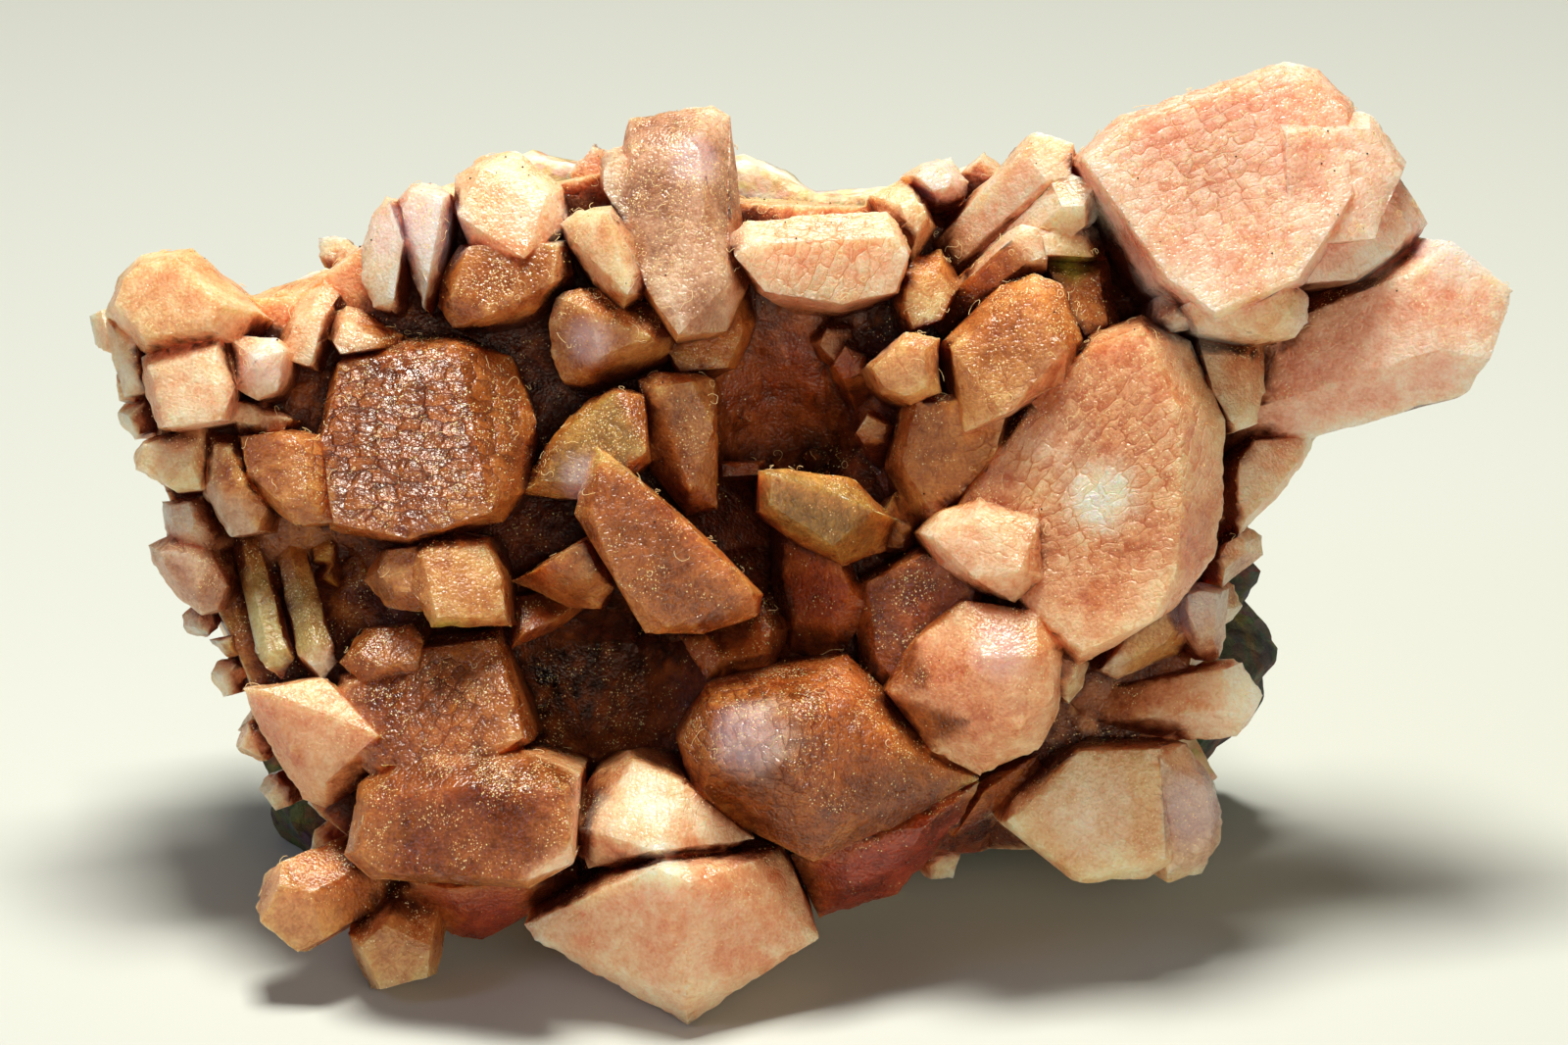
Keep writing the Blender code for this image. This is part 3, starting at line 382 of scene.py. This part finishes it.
def frosted_calcite():
    """Calcite crystal: milky and see-through near its surface, with grown plates and grains that scatter
    the light. Its colour carries painted light and shade: paler tips, glowing and shaded hollows, shaded
    cracks and a painted lavender reflection. It is glossier where it shines and duller in the hollows."""
    material, tree, shader = new_material(
        "frosted_calcite_crystal", IOR=1.6, Subsurface_Weight=0.7, Subsurface_Scale=0.0068
    )
    shader.inputs["Subsurface Radius"].default_value = (1.0, 0.42, 0.24)
    places = add_node(tree, "ShaderNodeTexCoord").outputs["Object"]
    tint = add_node(tree, "ShaderNodeAttribute", {"attribute_name": "tint"})
    looks = add_node(tree, "ShaderNodeAttribute", {"attribute_name": "looks"})
    parts = add_node(tree, "ShaderNodeSeparateColor", None, Color=looks.outputs["Color"]).outputs
    steps, shine, frost = parts["Red"], parts["Green"], parts["Blue"]
    grain = noise_pattern(tree, places, 5200, 1, 0.7)
    lumps = noise_pattern(tree, places, 1300, 2, 0.65)
    cloud = noise_pattern(tree, places, 230, 4, 0.62)
    plates, cracks = grown_plates(tree, steps, cloud)

    height = calculate(tree, "MULTIPLY_ADD", lumps, 0.35, plates)
    height = calculate(tree, "MULTIPLY_ADD", grain, 0.2, height)
    height = calculate(tree, "MULTIPLY_ADD", cracks, -0.5, height)
    add_relief(tree, shader, height, 0.35)

    colour = veiled_colour(tree, tint.outputs["Color"], grain, lumps, cloud, plates, cracks)
    # Painted reflection: a lavender sheen painted on the shining facets.
    colour = paint_over(tree, shine, colour, PAINTED_LAVENDER_SHEEN)
    colour = golden_frost(tree, places, colour, frost)
    tree.links.new(colour, shader.inputs["Base Color"])

    settings = {"From Min": 0.35, "From Max": 0.65, "To Min": 0.22, "To Max": 0.42}
    rough = add_node(tree, "ShaderNodeMapRange", settings, Value=cloud).outputs["Result"]
    settings = {"data_type": "FLOAT", 3: 0.14}
    rough = add_node(tree, "ShaderNodeMix", settings, i0=shine, i2=rough).outputs[0]
    tree.links.new(rough, shader.inputs["Roughness"])
    tree.links.new(tint.outputs["Alpha"], shader.inputs["Transmission Weight"])
    settings = {"To Min": 0.5, "To Max": 0.12}
    level = add_node(tree, "ShaderNodeMapRange", settings, Value=looks.outputs["Alpha"]).outputs["Result"]
    tree.links.new(level, shader.inputs["Specular IOR Level"])
    return material


def sugary_calcite():
    """Massive calcite: broken, sugary and cream-white, with tan stains in its cracks."""
    material, tree, shader = new_material(
        "sugary_cream_calcite", IOR=1.6, Roughness=0.5, Subsurface_Weight=0.35, Subsurface_Scale=0.0012
    )
    shader.inputs["Subsurface Radius"].default_value = (1.0, 0.7, 0.5)
    places = add_node(tree, "ShaderNodeTexCoord").outputs["Object"]
    cloud = noise_pattern(tree, places, 260, 6, 0.65)
    grain = add_node(tree, "ShaderNodeTexVoronoi", {"Scale": 1700}, Vector=places).outputs["Color"]
    colour = ramp(tree, cloud, [(0.32, "b07c4a"), (0.43, "dcbf92"), (0.54, "f2e2c6"), (0.70, "fbf4e6")])
    colour = soft_light(tree, 0.35, colour, grain)
    tree.links.new(colour, shader.inputs["Base Color"])
    add_relief(tree, shader, calculate(tree, "MULTIPLY_ADD", grain, 0.5, cloud), 0.6)
    return material


def weathered_host_rock():
    """Host rock: a dark grey-green to brown broken stone, matt, with rusty patches and pale grains."""
    material, tree, shader = new_material("weathered_host_rock", Roughness=0.85, IOR=1.5)
    places = add_node(tree, "ShaderNodeTexCoord").outputs["Object"]
    cloud = noise_pattern(tree, places, 190, 7, 0.68)
    grain = noise_pattern(tree, places, 2300, 4, 0.7)
    breaks = add_node(tree, "ShaderNodeTexVoronoi", {"Scale": 330}, Vector=places).outputs
    crumbs = add_node(tree, "ShaderNodeTexVoronoi", {"Scale": 1300}, Vector=places).outputs
    colour = ramp(tree, cloud, [(0.30, "2b2b22"), (0.44, "4d5040"), (0.56, "6e6650"), (0.68, "92734c")])
    for share, pattern in ((0.35, breaks["Color"]), (0.35, crumbs["Color"]), (0.8, grain)):
        colour = soft_light(tree, share, colour, pattern)
    tree.links.new(colour, shader.inputs["Base Color"])
    height = calculate(tree, "MULTIPLY_ADD", grain, 0.3, cloud)
    height = calculate(tree, "MULTIPLY_ADD", breaks["Distance"], -0.8, height)
    height = calculate(tree, "MULTIPLY_ADD", crumbs["Distance"], -0.3, height)
    add_relief(tree, shader, height, 1.1)
    return material


def plain_mineral(name, colour, roughness):
    """A grain or fibre too small to show a pattern of its own; its colour wanders along the specimen."""
    material, tree, shader = new_material(name, Roughness=roughness)
    places = add_node(tree, "ShaderNodeTexCoord").outputs["Object"]
    cloud = add_node(tree, "ShaderNodeTexNoise", {"Scale": 1500}, Vector=places).outputs["Fac"]
    varied = ramp(tree, cloud, [(0.35, 0.30), (0.65, 0.75)])
    settings = {"data_type": "RGBA", "blend_type": "SOFT_LIGHT", 0: 0.8, 6: (*linear(colour), 1)}
    mixed = add_node(tree, "ShaderNodeMix", settings, i7=varied).outputs[2]
    tree.links.new(mixed, shader.inputs["Base Color"])
    return material


def copy_of(node):
    """The CAD node's solid with its points merged."""
    body = bmesh.new()
    body.from_mesh(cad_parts[node].data)
    bmesh.ops.remove_doubles(body, verts=body.verts, dist=MERGE_MM * MM)
    bmesh.ops.triangulate(body, faces=body.faces)
    body.normal_update()
    return body


def refine(body, longest, at_rims=None):
    """Splits the edges until none is longer, or none between two facets longer than the second length."""
    for _ in range(MOST_ROUNDS):
        edges = []
        for edge in body.edges:
            rim = at_rims and edge.calc_face_angle(0) > RIM_ANGLE
            if edge.calc_length() > (at_rims if rim else longest):
                edges.append(edge)
        if not edges:
            break
        bmesh.ops.subdivide_edges(body, edges=edges, cuts=1)
        bmesh.ops.triangulate(body, faces=body.faces)
    body.normal_update()


def number_facets(body):
    """Numbers the flat facets from 1 in a face layer, and returns each one's middle and normal."""
    layer = body.faces.layers.int.new("facet")
    facets = []
    for start in body.faces:
        if start[layer]:
            continue
        number, open_faces = len(facets) + 1, [start]
        start[layer] = number
        area, middle = 0, Vector()
        while open_faces:
            face = open_faces.pop()
            size = face.calc_area()
            area += size
            middle += face.calc_center_median() * size
            for edge in face.edges:
                for other in edge.link_faces:
                    if not other[layer] and other.normal.dot(start.normal) > SAME_FACET:
                        other[layer] = number
                        open_faces.append(other)
        facets.append((middle / max(area, LEAST_AREA), start.normal.copy()))
    return layer, facets


def near(point, spot, reach):
    """From 1 at a spot to 0 at its reach."""
    return max(0, 1 - (point - place(spot)).length / (reach * STEP))


def hollowness(tree, point, normal, rays):
    """The share of the sky over a point that other surfaces hide, nearer ones counting for more."""
    hidden = 0
    start = point + normal * RAY_START_MM * MM
    reach = HOLLOW_REACH_MM * MM
    for ray in rays:
        way = (normal + ray).normalized()
        distance = tree.ray_cast(start, way, reach)[3]
        if distance is not None:
            hidden += 1 - FAR_LESS * distance / reach
    return hidden / len(rays)


def thinness(tree, point, normal, rays):
    """From 0, thick, to 1 where the body's other sides are near, as at tips and edges."""
    thin = 0
    start = point - normal * RAY_START_MM * MM
    reach = THIN_MM * MM
    for ray in rays:
        deep = tree.ray_cast(start, (ray - normal).normalized(), reach)[3]
        if deep is not None:
            thin += 1 - deep / reach
    return thin / len(rays)


def sphere_ways(count):
    """Directions spread evenly over a sphere."""
    ways = []
    for i in range(count):
        z = 1 - 2 * (i + 0.5) / count
        angle = i * math.pi * (3 - math.sqrt(5))
        level = Vector((math.cos(angle), math.sin(angle), 0)) * math.sqrt(1 - z * z)
        ways.append(level + Vector((0, 0, z)))
    return ways


def surroundings():
    """One search tree over the solids of the specimen."""
    whole = bmesh.new()
    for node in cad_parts.values():
        whole.from_mesh(node.data)
    tree = BVHTree.FromBMesh(whole)
    whole.free()
    return tree


def finish_piece(name, body, material, node, sharp=None):
    """Makes a piece of a mesh, rides it on the specimen, and lets it stand for its CAD node."""
    mesh = bpy.data.meshes.new(name)
    body.to_mesh(mesh)
    body.free()
    mesh.materials.append(material)
    mesh.shade_smooth()
    if sharp:
        mesh.set_sharp_from_angle(angle=math.radians(sharp))
    piece = bpy.data.objects.new(name, mesh)
    bpy.context.scene.collection.objects.link(piece)
    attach(piece, "root")
    if node:
        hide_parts(node)
    return piece


def facet_looks(facets, rng):
    """Each facet's colour, its growth directions, and the shift and chance that are its own."""
    middles = []
    for name, (*spot, reach, shade) in CRYSTALS.items():
        heart = place(GROWN_FROM.get(name, HEART))
        middles.append((place(spot), reach * STEP, Vector(linear(TINTS[shade])), heart))
    plain = Vector(linear(TINTS["honey"]))
    own = []
    for middle, normal in facets:
        closest = min(middles, key=lambda m: (middle - m[0]).length / m[1])
        away = (middle - closest[0]).length / closest[1]
        colour = closest[2] if away < FARTHEST_TINT else plain
        along = middle - closest[3]
        along = (along - normal * along.dot(normal)).normalized()
        own.append((colour, along, normal.cross(along), rng.uniform(0, MOST_SHIFT_MM), rng.random()))
    return own


def whiteness(point):
    """From 0 to 1 where a milky core is, with a ragged border."""
    white = max(near(point, *core[:2]) * core[2] * CORE_GAIN for core in CORES)
    return min(1, white + CORE_RAGGED * noise.noise(point * CORE_WAVES) * (white > 0))


def stained_and_darkened(colour, point, stains_and_patches):
    """The colour under its stains and its dark patches."""
    for spot, reach, stain in stains_and_patches:
        ragged = STAIN_FULL + noise.noise(point * STAIN_WAVES)
        colour = colour.lerp(stain, min(1, STAIN_GAIN * near(point, spot, reach) * ragged))
    return colour


def paint_crystals(body, layer, facets, rng):
    """Gives each point its colour and looks, and each facet its growth directions in a UV map in
    millimetres. The colour carries painted light and shade: paler at thin tips and edges, an orange glow
    in the hollows and a near-black shade in the deepest. In tint, the alpha is how far light passes
    through. Looks holds the growth steps, the shine, the dust and the hollowness."""
    tree = surroundings()
    rays = [ray * RAY_SPREAD for ray in sphere_ways(HOLLOW_RAYS)]
    tint = body.verts.layers.float_color.new("tint")
    looks = body.verts.layers.float_color.new("looks")
    growth = body.loops.layers.uv.new("growth")
    painted_glow, painted_dusk_shade, milk = (Vector(linear(colour)) for colour in (PAINTED_HOLLOW_GLOW, PAINTED_HOLLOW_SHADE, MILK))
    stains_and_patches = [(spot, reach, Vector(linear(stain))) for spot, reach, stain in STAINS_AND_DARK_PATCHES]
    own = facet_looks(facets, rng)
    for face in body.faces:
        _, along, across, shift, _ = own[face[layer] - 1]
        for loop in face.loops:
            point = loop.vert.co
            loop[growth].uv = (point.dot(along) / MM + shift, point.dot(across) / MM + shift)
    for vert in body.verts:
        around = [own[face[layer] - 1] for face in vert.link_faces]
        colour = sum((facet[0] for facet in around), Vector()) / len(around)
        chance = around[0][4]
        point = vert.co
        white = whiteness(point)
        hidden = hollowness(tree, point, vert.normal, rays)
        hollow = max(0, min(1, hidden * HOLLOW_GAIN - HOLLOW_START))
        thin = thinness(tree, point, vert.normal, rays)
        # Painted light and shade: thin tips and edges come out paler, and hollows darker and redder, with an
        # orange glow painted in and the deepest ones near black-brown.
        way = WAY_PLAIN + WAY_VARIES * (chance - 0.5) + WAY_THIN_PAINTED_LIGHT * thin + WAY_HOLLOW_PAINTED_SHADE * hollow
        colour = Vector(max(0, part) ** way for part in colour)
        colour = colour.lerp(painted_glow, PAINTED_GLOW_MOST * min(1, hollow * PAINTED_GLOW_GAIN))
        colour = colour.lerp(painted_dusk_shade, min(1, max(0, hollow - PAINTED_SHADE_START) * PAINTED_SHADE_GAIN))
        colour = colour.lerp(milk, max(0, white) ** CORE_POWER)
        colour = stained_and_darkened(colour, point, stains_and_patches)
        steps = max(near(point, *spot[:2]) * spot[2] for spot in STEPPED)
        shine = max(near(point, *spot) for spot in SHINES)
        steps = STEPS_LEAST + min(STEPS_MOST - STEPS_LEAST, steps * STEPS_GAIN)
        dust = (max(0.0, vert.normal.z) * DUST_UP + DUST_LEAST) * (1 - DUST_HOLLOW * hollow)
        clear = CLEAR_THIN * thin - CLEAR_START - CLEAR_WHITE * max(0, white)
        vert[tint] = (*colour, max(0, clear))
        vert[looks] = (steps, min(SHINE_MOST, shine * SHINE_GAIN), dust, hollow)


def chip_edges(body, layer):
    """Wears back the crystals' edges, in notches, and ripples their facets."""
    moves = []
    for vert in body.verts:
        edge = len({face[layer] for face in vert.link_faces}) > 1
        point = vert.co
        notch = sum(noise.noise(point * waves) * share for waves, share in NOTCHES)
        depth = noise.noise(point * RIPPLE_WAVES) * RIPPLE_MM * MM - SHRINK_MM * MM
        if edge:
            depth -= CHIP_MM * MM * max(0, notch + NOTCH_WORN)
        moves.append((vert, vert.normal * depth))
    for vert, move in moves:
        vert.co += move


def roughen(body, sizes):
    """Breaks a surface up with noise: sizes are (millimetres across, millimetres deep). What stands on
    the floor stays on it."""
    moves = []
    for vert in body.verts:
        depth = sum(noise.noise(vert.co / (across * MM)) * deep * MM for across, deep in sizes)
        moves.append((vert, vert.normal * depth))
    for vert, move in moves:
        on_foot = vert.co.z < FOOT_MM * MM
        vert.co += move
        vert.co.z = 0 if on_foot else max(0, vert.co.z)


class SpecimenSizes(bpy.types.PropertyGroup):
    grain_count: IntProperty(name="Dust grains", description="Grains on the crystals", default=2200, min=0)
    grain_size: FloatProperty(
        name="Grain size", description="Width of a grain", default=0.085 * MM, unit="LENGTH", precision=5
    )
    fibre_count: IntProperty(name="Lint fibres", description="Fibres on the crystals", default=520, min=0)
    fibre_width: FloatProperty(
        name="Fibre width", description="Width of a fibre", default=0.034 * MM, unit="LENGTH", precision=5
    )
    dust_colour: StringProperty(name="Dust colour", description="Of the grains, sRGB hex", default="d8ab5c")
    lint_colour: StringProperty(name="Lint colour", description="Of the fibres, sRGB hex", default="f4d9a0")
    floor_colour: StringProperty(name="Floor colour", description="Of the floor, sRGB hex", default="cad0ca")


class CALCITE_OT_crystals(bpy.types.Operator):
    """Finishes the crystals with worn edges, growth steps and colour that deepens in the hollows"""

    bl_idname = "calcite.crystals"
    bl_label = "Crystals"

    def execute(self, context):
        body = copy_of("calcite_cluster")
        layer, facets = number_facets(body)
        refine(body, SKIN_EDGE_MM * MM, RIM_EDGE_MM * MM)
        paint_crystals(body, layer, facets, random.Random(5))
        chip_edges(body, layer)
        material = frosted_calcite()
        finish_piece("salmon_crystals", body, material, "calcite_cluster", sharp=9)
        return {"FINISHED"}


class CALCITE_OT_band(bpy.types.Operator):
    """Finishes the pale massive calcite behind the crystals"""

    bl_idname = "calcite.band"
    bl_label = "Pale band"

    def execute(self, context):
        body = copy_of("pale_calcite_band")
        refine(body, BAND_EDGE_MM * MM)
        roughen(body, BAND_RELIEF_MM)
        finish_piece("cream_band", body, sugary_calcite(), "pale_calcite_band", sharp=40)
        return {"FINISHED"}


class CALCITE_OT_rock(bpy.types.Operator):
    """Finishes the dark rock that the specimen stands on"""

    bl_idname = "calcite.rock"
    bl_label = "Host rock"

    def execute(self, context):
        body = copy_of("host_rock")
        refine(body, ROCK_EDGE_MM * MM)
        roughen(body, ROCK_RELIEF_MM)
        finish_piece("broken_rock", body, weathered_host_rock(), "host_rock", sharp=35)
        return {"FINISHED"}


class CALCITE_OT_dirt(bpy.types.Operator):
    """Lays golden dust, black specks and curly lint on the crystals"""

    bl_idname = "calcite.dirt"
    bl_label = "Dust and lint"

    def landing(self, tree, rng, least):
        """A point of the surface that looks up, hit by a fall from above."""
        while True:
            start = Vector((rng.uniform(*FALL_ACROSS), rng.uniform(*FALL_ALONG), FALL_FROM))
            way = Vector((rng.gauss(0, 0.25), rng.gauss(0.35, 0.3), -1)).normalized()
            point, normal, _, _ = tree.ray_cast(start - way * FALL_BACK, way)
            if point and normal.z > least and point.z > LOWEST_DUST:
                return point, normal

    def lay_grains(self, tree, rng, name, count, size, colour):
        """Lays grains on the surface as small cut pyramids."""
        body = bmesh.new()
        for _ in range(count):
            point, normal = self.landing(tree, rng, 0.12)
            wide = size * rng.choice(GRAIN_WIDTHS)
            made = bmesh.ops.create_cone(
                body, cap_ends=True, segments=4, radius1=wide * 0.5, radius2=wide * 0.2, depth=wide * 0.7
            )
            turn = normal.to_track_quat("Z", "Y").to_matrix()
            bmesh.ops.rotate(body, verts=made["verts"], matrix=turn)
            bmesh.ops.translate(body, verts=made["verts"], vec=point + normal * wide * 0.15)
        finish_piece(name, body, plain_mineral(name + "_mineral", colour, 0.45), None)

    def lay_fibres(self, tree, rng, count, width, colour):
        """Lays curly fibres that follow the surface and lift off it a little."""
        curve = bpy.data.curves.new("lint", "CURVE")
        curve.dimensions = "3D"
        curve.bevel_depth = width / 2
        curve.bevel_resolution = 1
        curve.use_fill_caps = True
        for _ in range(count):
            point, normal = self.landing(tree, rng, 0.1)
            way = Vector((rng.gauss(0, 1), rng.gauss(0, 1), rng.gauss(0, 1))).normalized()
            curl = rng.uniform(-0.5, 0.5)
            stride = rng.uniform(*STRIDE_MM) * MM
            lift = rng.uniform(*LIFT_MM) * MM
            path = []
            for i in range(rng.randint(*FIBRE_KNOTS)):
                spot, normal, _, _ = tree.find_nearest(point)
                path.append(spot + normal * (0.03 * MM + lift * abs(math.sin(i * 0.23))))
                curl = max(-MOST_CURL, min(MOST_CURL, curl + rng.gauss(0, CURL_CHANGE)))
                way = (way + normal.cross(way) * curl).normalized()
                way = (way - normal * way.dot(normal)).normalized()
                point = path[-1] + way * stride
            spline = curve.splines.new("POLY")
            spline.points.add(len(path) - 1)
            for knot, spot in zip(spline.points, path):
                knot.co = (*spot, 1)
        maker = bpy.data.objects.new("lint", curve)
        bpy.context.scene.collection.objects.link(maker)
        bpy.context.view_layer.update()
        graph = bpy.context.evaluated_depsgraph_get()
        mesh = bpy.data.meshes.new_from_object(maker.evaluated_get(graph))
        bpy.data.objects.remove(maker)
        body = bmesh.new()
        body.from_mesh(mesh)
        material = plain_mineral("cotton_lint", colour, 0.8)
        finish_piece("lint_fibres", body, material, None)

    def execute(self, context):
        sizes = context.scene.specimen_sizes
        whole = bmesh.new()
        whole.from_mesh(bpy.data.objects["salmon_crystals"].data)
        tree = BVHTree.FromBMesh(whole)
        whole.free()
        rng = random.Random(21)
        self.lay_grains(tree, rng, "golden_dust", sizes.grain_count, sizes.grain_size, sizes.dust_colour)
        speck_size = sizes.grain_size * SPECK_SIZE
        self.lay_grains(tree, rng, "black_specks", SPECK_COUNT, speck_size, SPECK_COLOUR)
        self.lay_fibres(tree, rng, sizes.fibre_count, sizes.fibre_width, sizes.lint_colour)
        return {"FINISHED"}


class CALCITE_OT_stage(bpy.types.Operator):
    """Sets the pale floor, the soft lights and the camera"""

    bl_idname = "calcite.stage"
    bl_label = "Stage"

    def lay_floor(self, colour):
        """A sheet that lies flat, then curves up behind the specimen."""
        body = bmesh.new()
        start = body.verts.new((0, FLOOR_FRONT, 0))
        made = bmesh.ops.extrude_vert_indiv(body, verts=[start])
        bmesh.ops.translate(body, verts=made["verts"], vec=(0, FLOOR_BACK - FLOOR_FRONT, 0))
        edge_end = made["verts"][0]
        middle = (0, FLOOR_BACK, SWEEP_RADIUS)
        turned = bmesh.ops.spin(
            body, geom=[edge_end], cent=middle, axis=(1, 0, 0), angle=SWEEP_ANGLE, steps=SWEEP_PIECES
        )
        top = [v for v in turned["geom_last"] if isinstance(v, bmesh.types.BMVert)]
        made = bmesh.ops.extrude_vert_indiv(body, verts=top)
        bmesh.ops.translate(body, verts=made["verts"], vec=WALL_RUN)
        bmesh.ops.translate(body, verts=body.verts, vec=(-FLOOR_HALF_WIDTH, 0, 0))
        made = bmesh.ops.extrude_edge_only(body, edges=body.edges)
        across = [v for v in made["geom"] if isinstance(v, bmesh.types.BMVert)]
        bmesh.ops.translate(body, verts=across, vec=(2 * FLOOR_HALF_WIDTH, 0, 0))
        bmesh.ops.recalc_face_normals(body, faces=body.faces)
        mesh = bpy.data.meshes.new("floor_sweep")
        body.to_mesh(mesh)
        body.free()
        mesh.shade_smooth()
        pale = (*linear(colour), 1)
        material, _, _ = new_material("matt_backdrop_paper", Roughness=0.75, Base_Color=pale)
        mesh.materials.append(material)
        floor = bpy.data.objects.new("floor_sweep", mesh)
        bpy.context.scene.collection.objects.link(floor)

    def add_light(self, name, spot, size, power, colour):
        """Adds a soft rectangular light that faces the specimen."""
        light = bpy.data.lights.new(name, "AREA")
        light.shape = "RECTANGLE"
        light.size, light.size_y = size
        light.energy = power
        light.color = linear(colour)
        lamp = bpy.data.objects.new(name, light)
        lamp.location = spot
        lamp.rotation_euler = (Vector(spot) - Vector(LIT_SPOT)).to_track_quat("Z", "Y").to_euler()
        bpy.context.scene.collection.objects.link(lamp)

    def aim_camera(self):
        """Places the camera so that the drawing grid fills its frame."""
        sight = Vector((0, math.cos(VIEW_TILT), -math.sin(VIEW_TILT)))
        camera = bpy.data.cameras.new("photo_view")
        camera.sensor_width = SENSOR_MM
        camera.lens = SENSOR_MM * VIEW_DISTANCE / (PAGE_WIDTH * STEP)
        camera.clip_start = 0.01
        camera.dof.use_dof = False
        holder = bpy.data.objects.new("photo_view", camera)
        holder.location = place((*PAGE_MIDDLE, 0)) - sight * VIEW_DISTANCE
        holder.rotation_euler = sight.to_track_quat("-Z", "Y").to_euler()
        bpy.context.scene.collection.objects.link(holder)
        bpy.context.scene.camera = holder

    def execute(self, context):
        scene = context.scene
        self.lay_floor(scene.specimen_sizes.floor_colour)
        for light in LIGHTS:
            self.add_light(*light)
        world = bpy.data.worlds.new("soft_room")
        world.use_nodes = True
        room = world.node_tree.nodes["Background"].inputs
        room["Color"].default_value = (*linear(ROOM_COLOUR), 1)
        room["Strength"].default_value = ROOM_LIGHT
        scene.world = world
        scene.view_settings.view_transform = "Standard"
        self.aim_camera()
        return {"FINISHED"}


class CALCITE_PT_panel(bpy.types.Panel):
    """Lists the sizes and the pieces of the specimen"""

    bl_idname = "CALCITE_PT_panel"
    bl_label = "Calcite specimen"
    bl_space_type = "VIEW_3D"
    bl_region_type = "UI"
    bl_category = "Calcite"

    def draw(self, context):
        sizes = context.scene.specimen_sizes
        for name in SpecimenSizes.__annotations__:
            self.layout.prop(sizes, name)
        for operator in OPERATORS:
            self.layout.operator(operator.bl_idname)


OPERATORS = (CALCITE_OT_crystals, CALCITE_OT_band, CALCITE_OT_rock, CALCITE_OT_dirt, CALCITE_OT_stage)
CLASSES = (SpecimenSizes, *OPERATORS, CALCITE_PT_panel)


def register():
    for item in CLASSES:
        bpy.utils.register_class(item)
    bpy.types.Scene.specimen_sizes = PointerProperty(type=SpecimenSizes)


def unregister():
    del bpy.types.Scene.specimen_sizes
    for item in reversed(CLASSES):
        bpy.utils.unregister_class(item)


def main():
    register()
    bpy.ops.calcite.crystals()
    bpy.ops.calcite.band()
    bpy.ops.calcite.rock()
    bpy.ops.calcite.dirt()
    bpy.ops.calcite.stage()


if __name__ == "__main__":
    main()
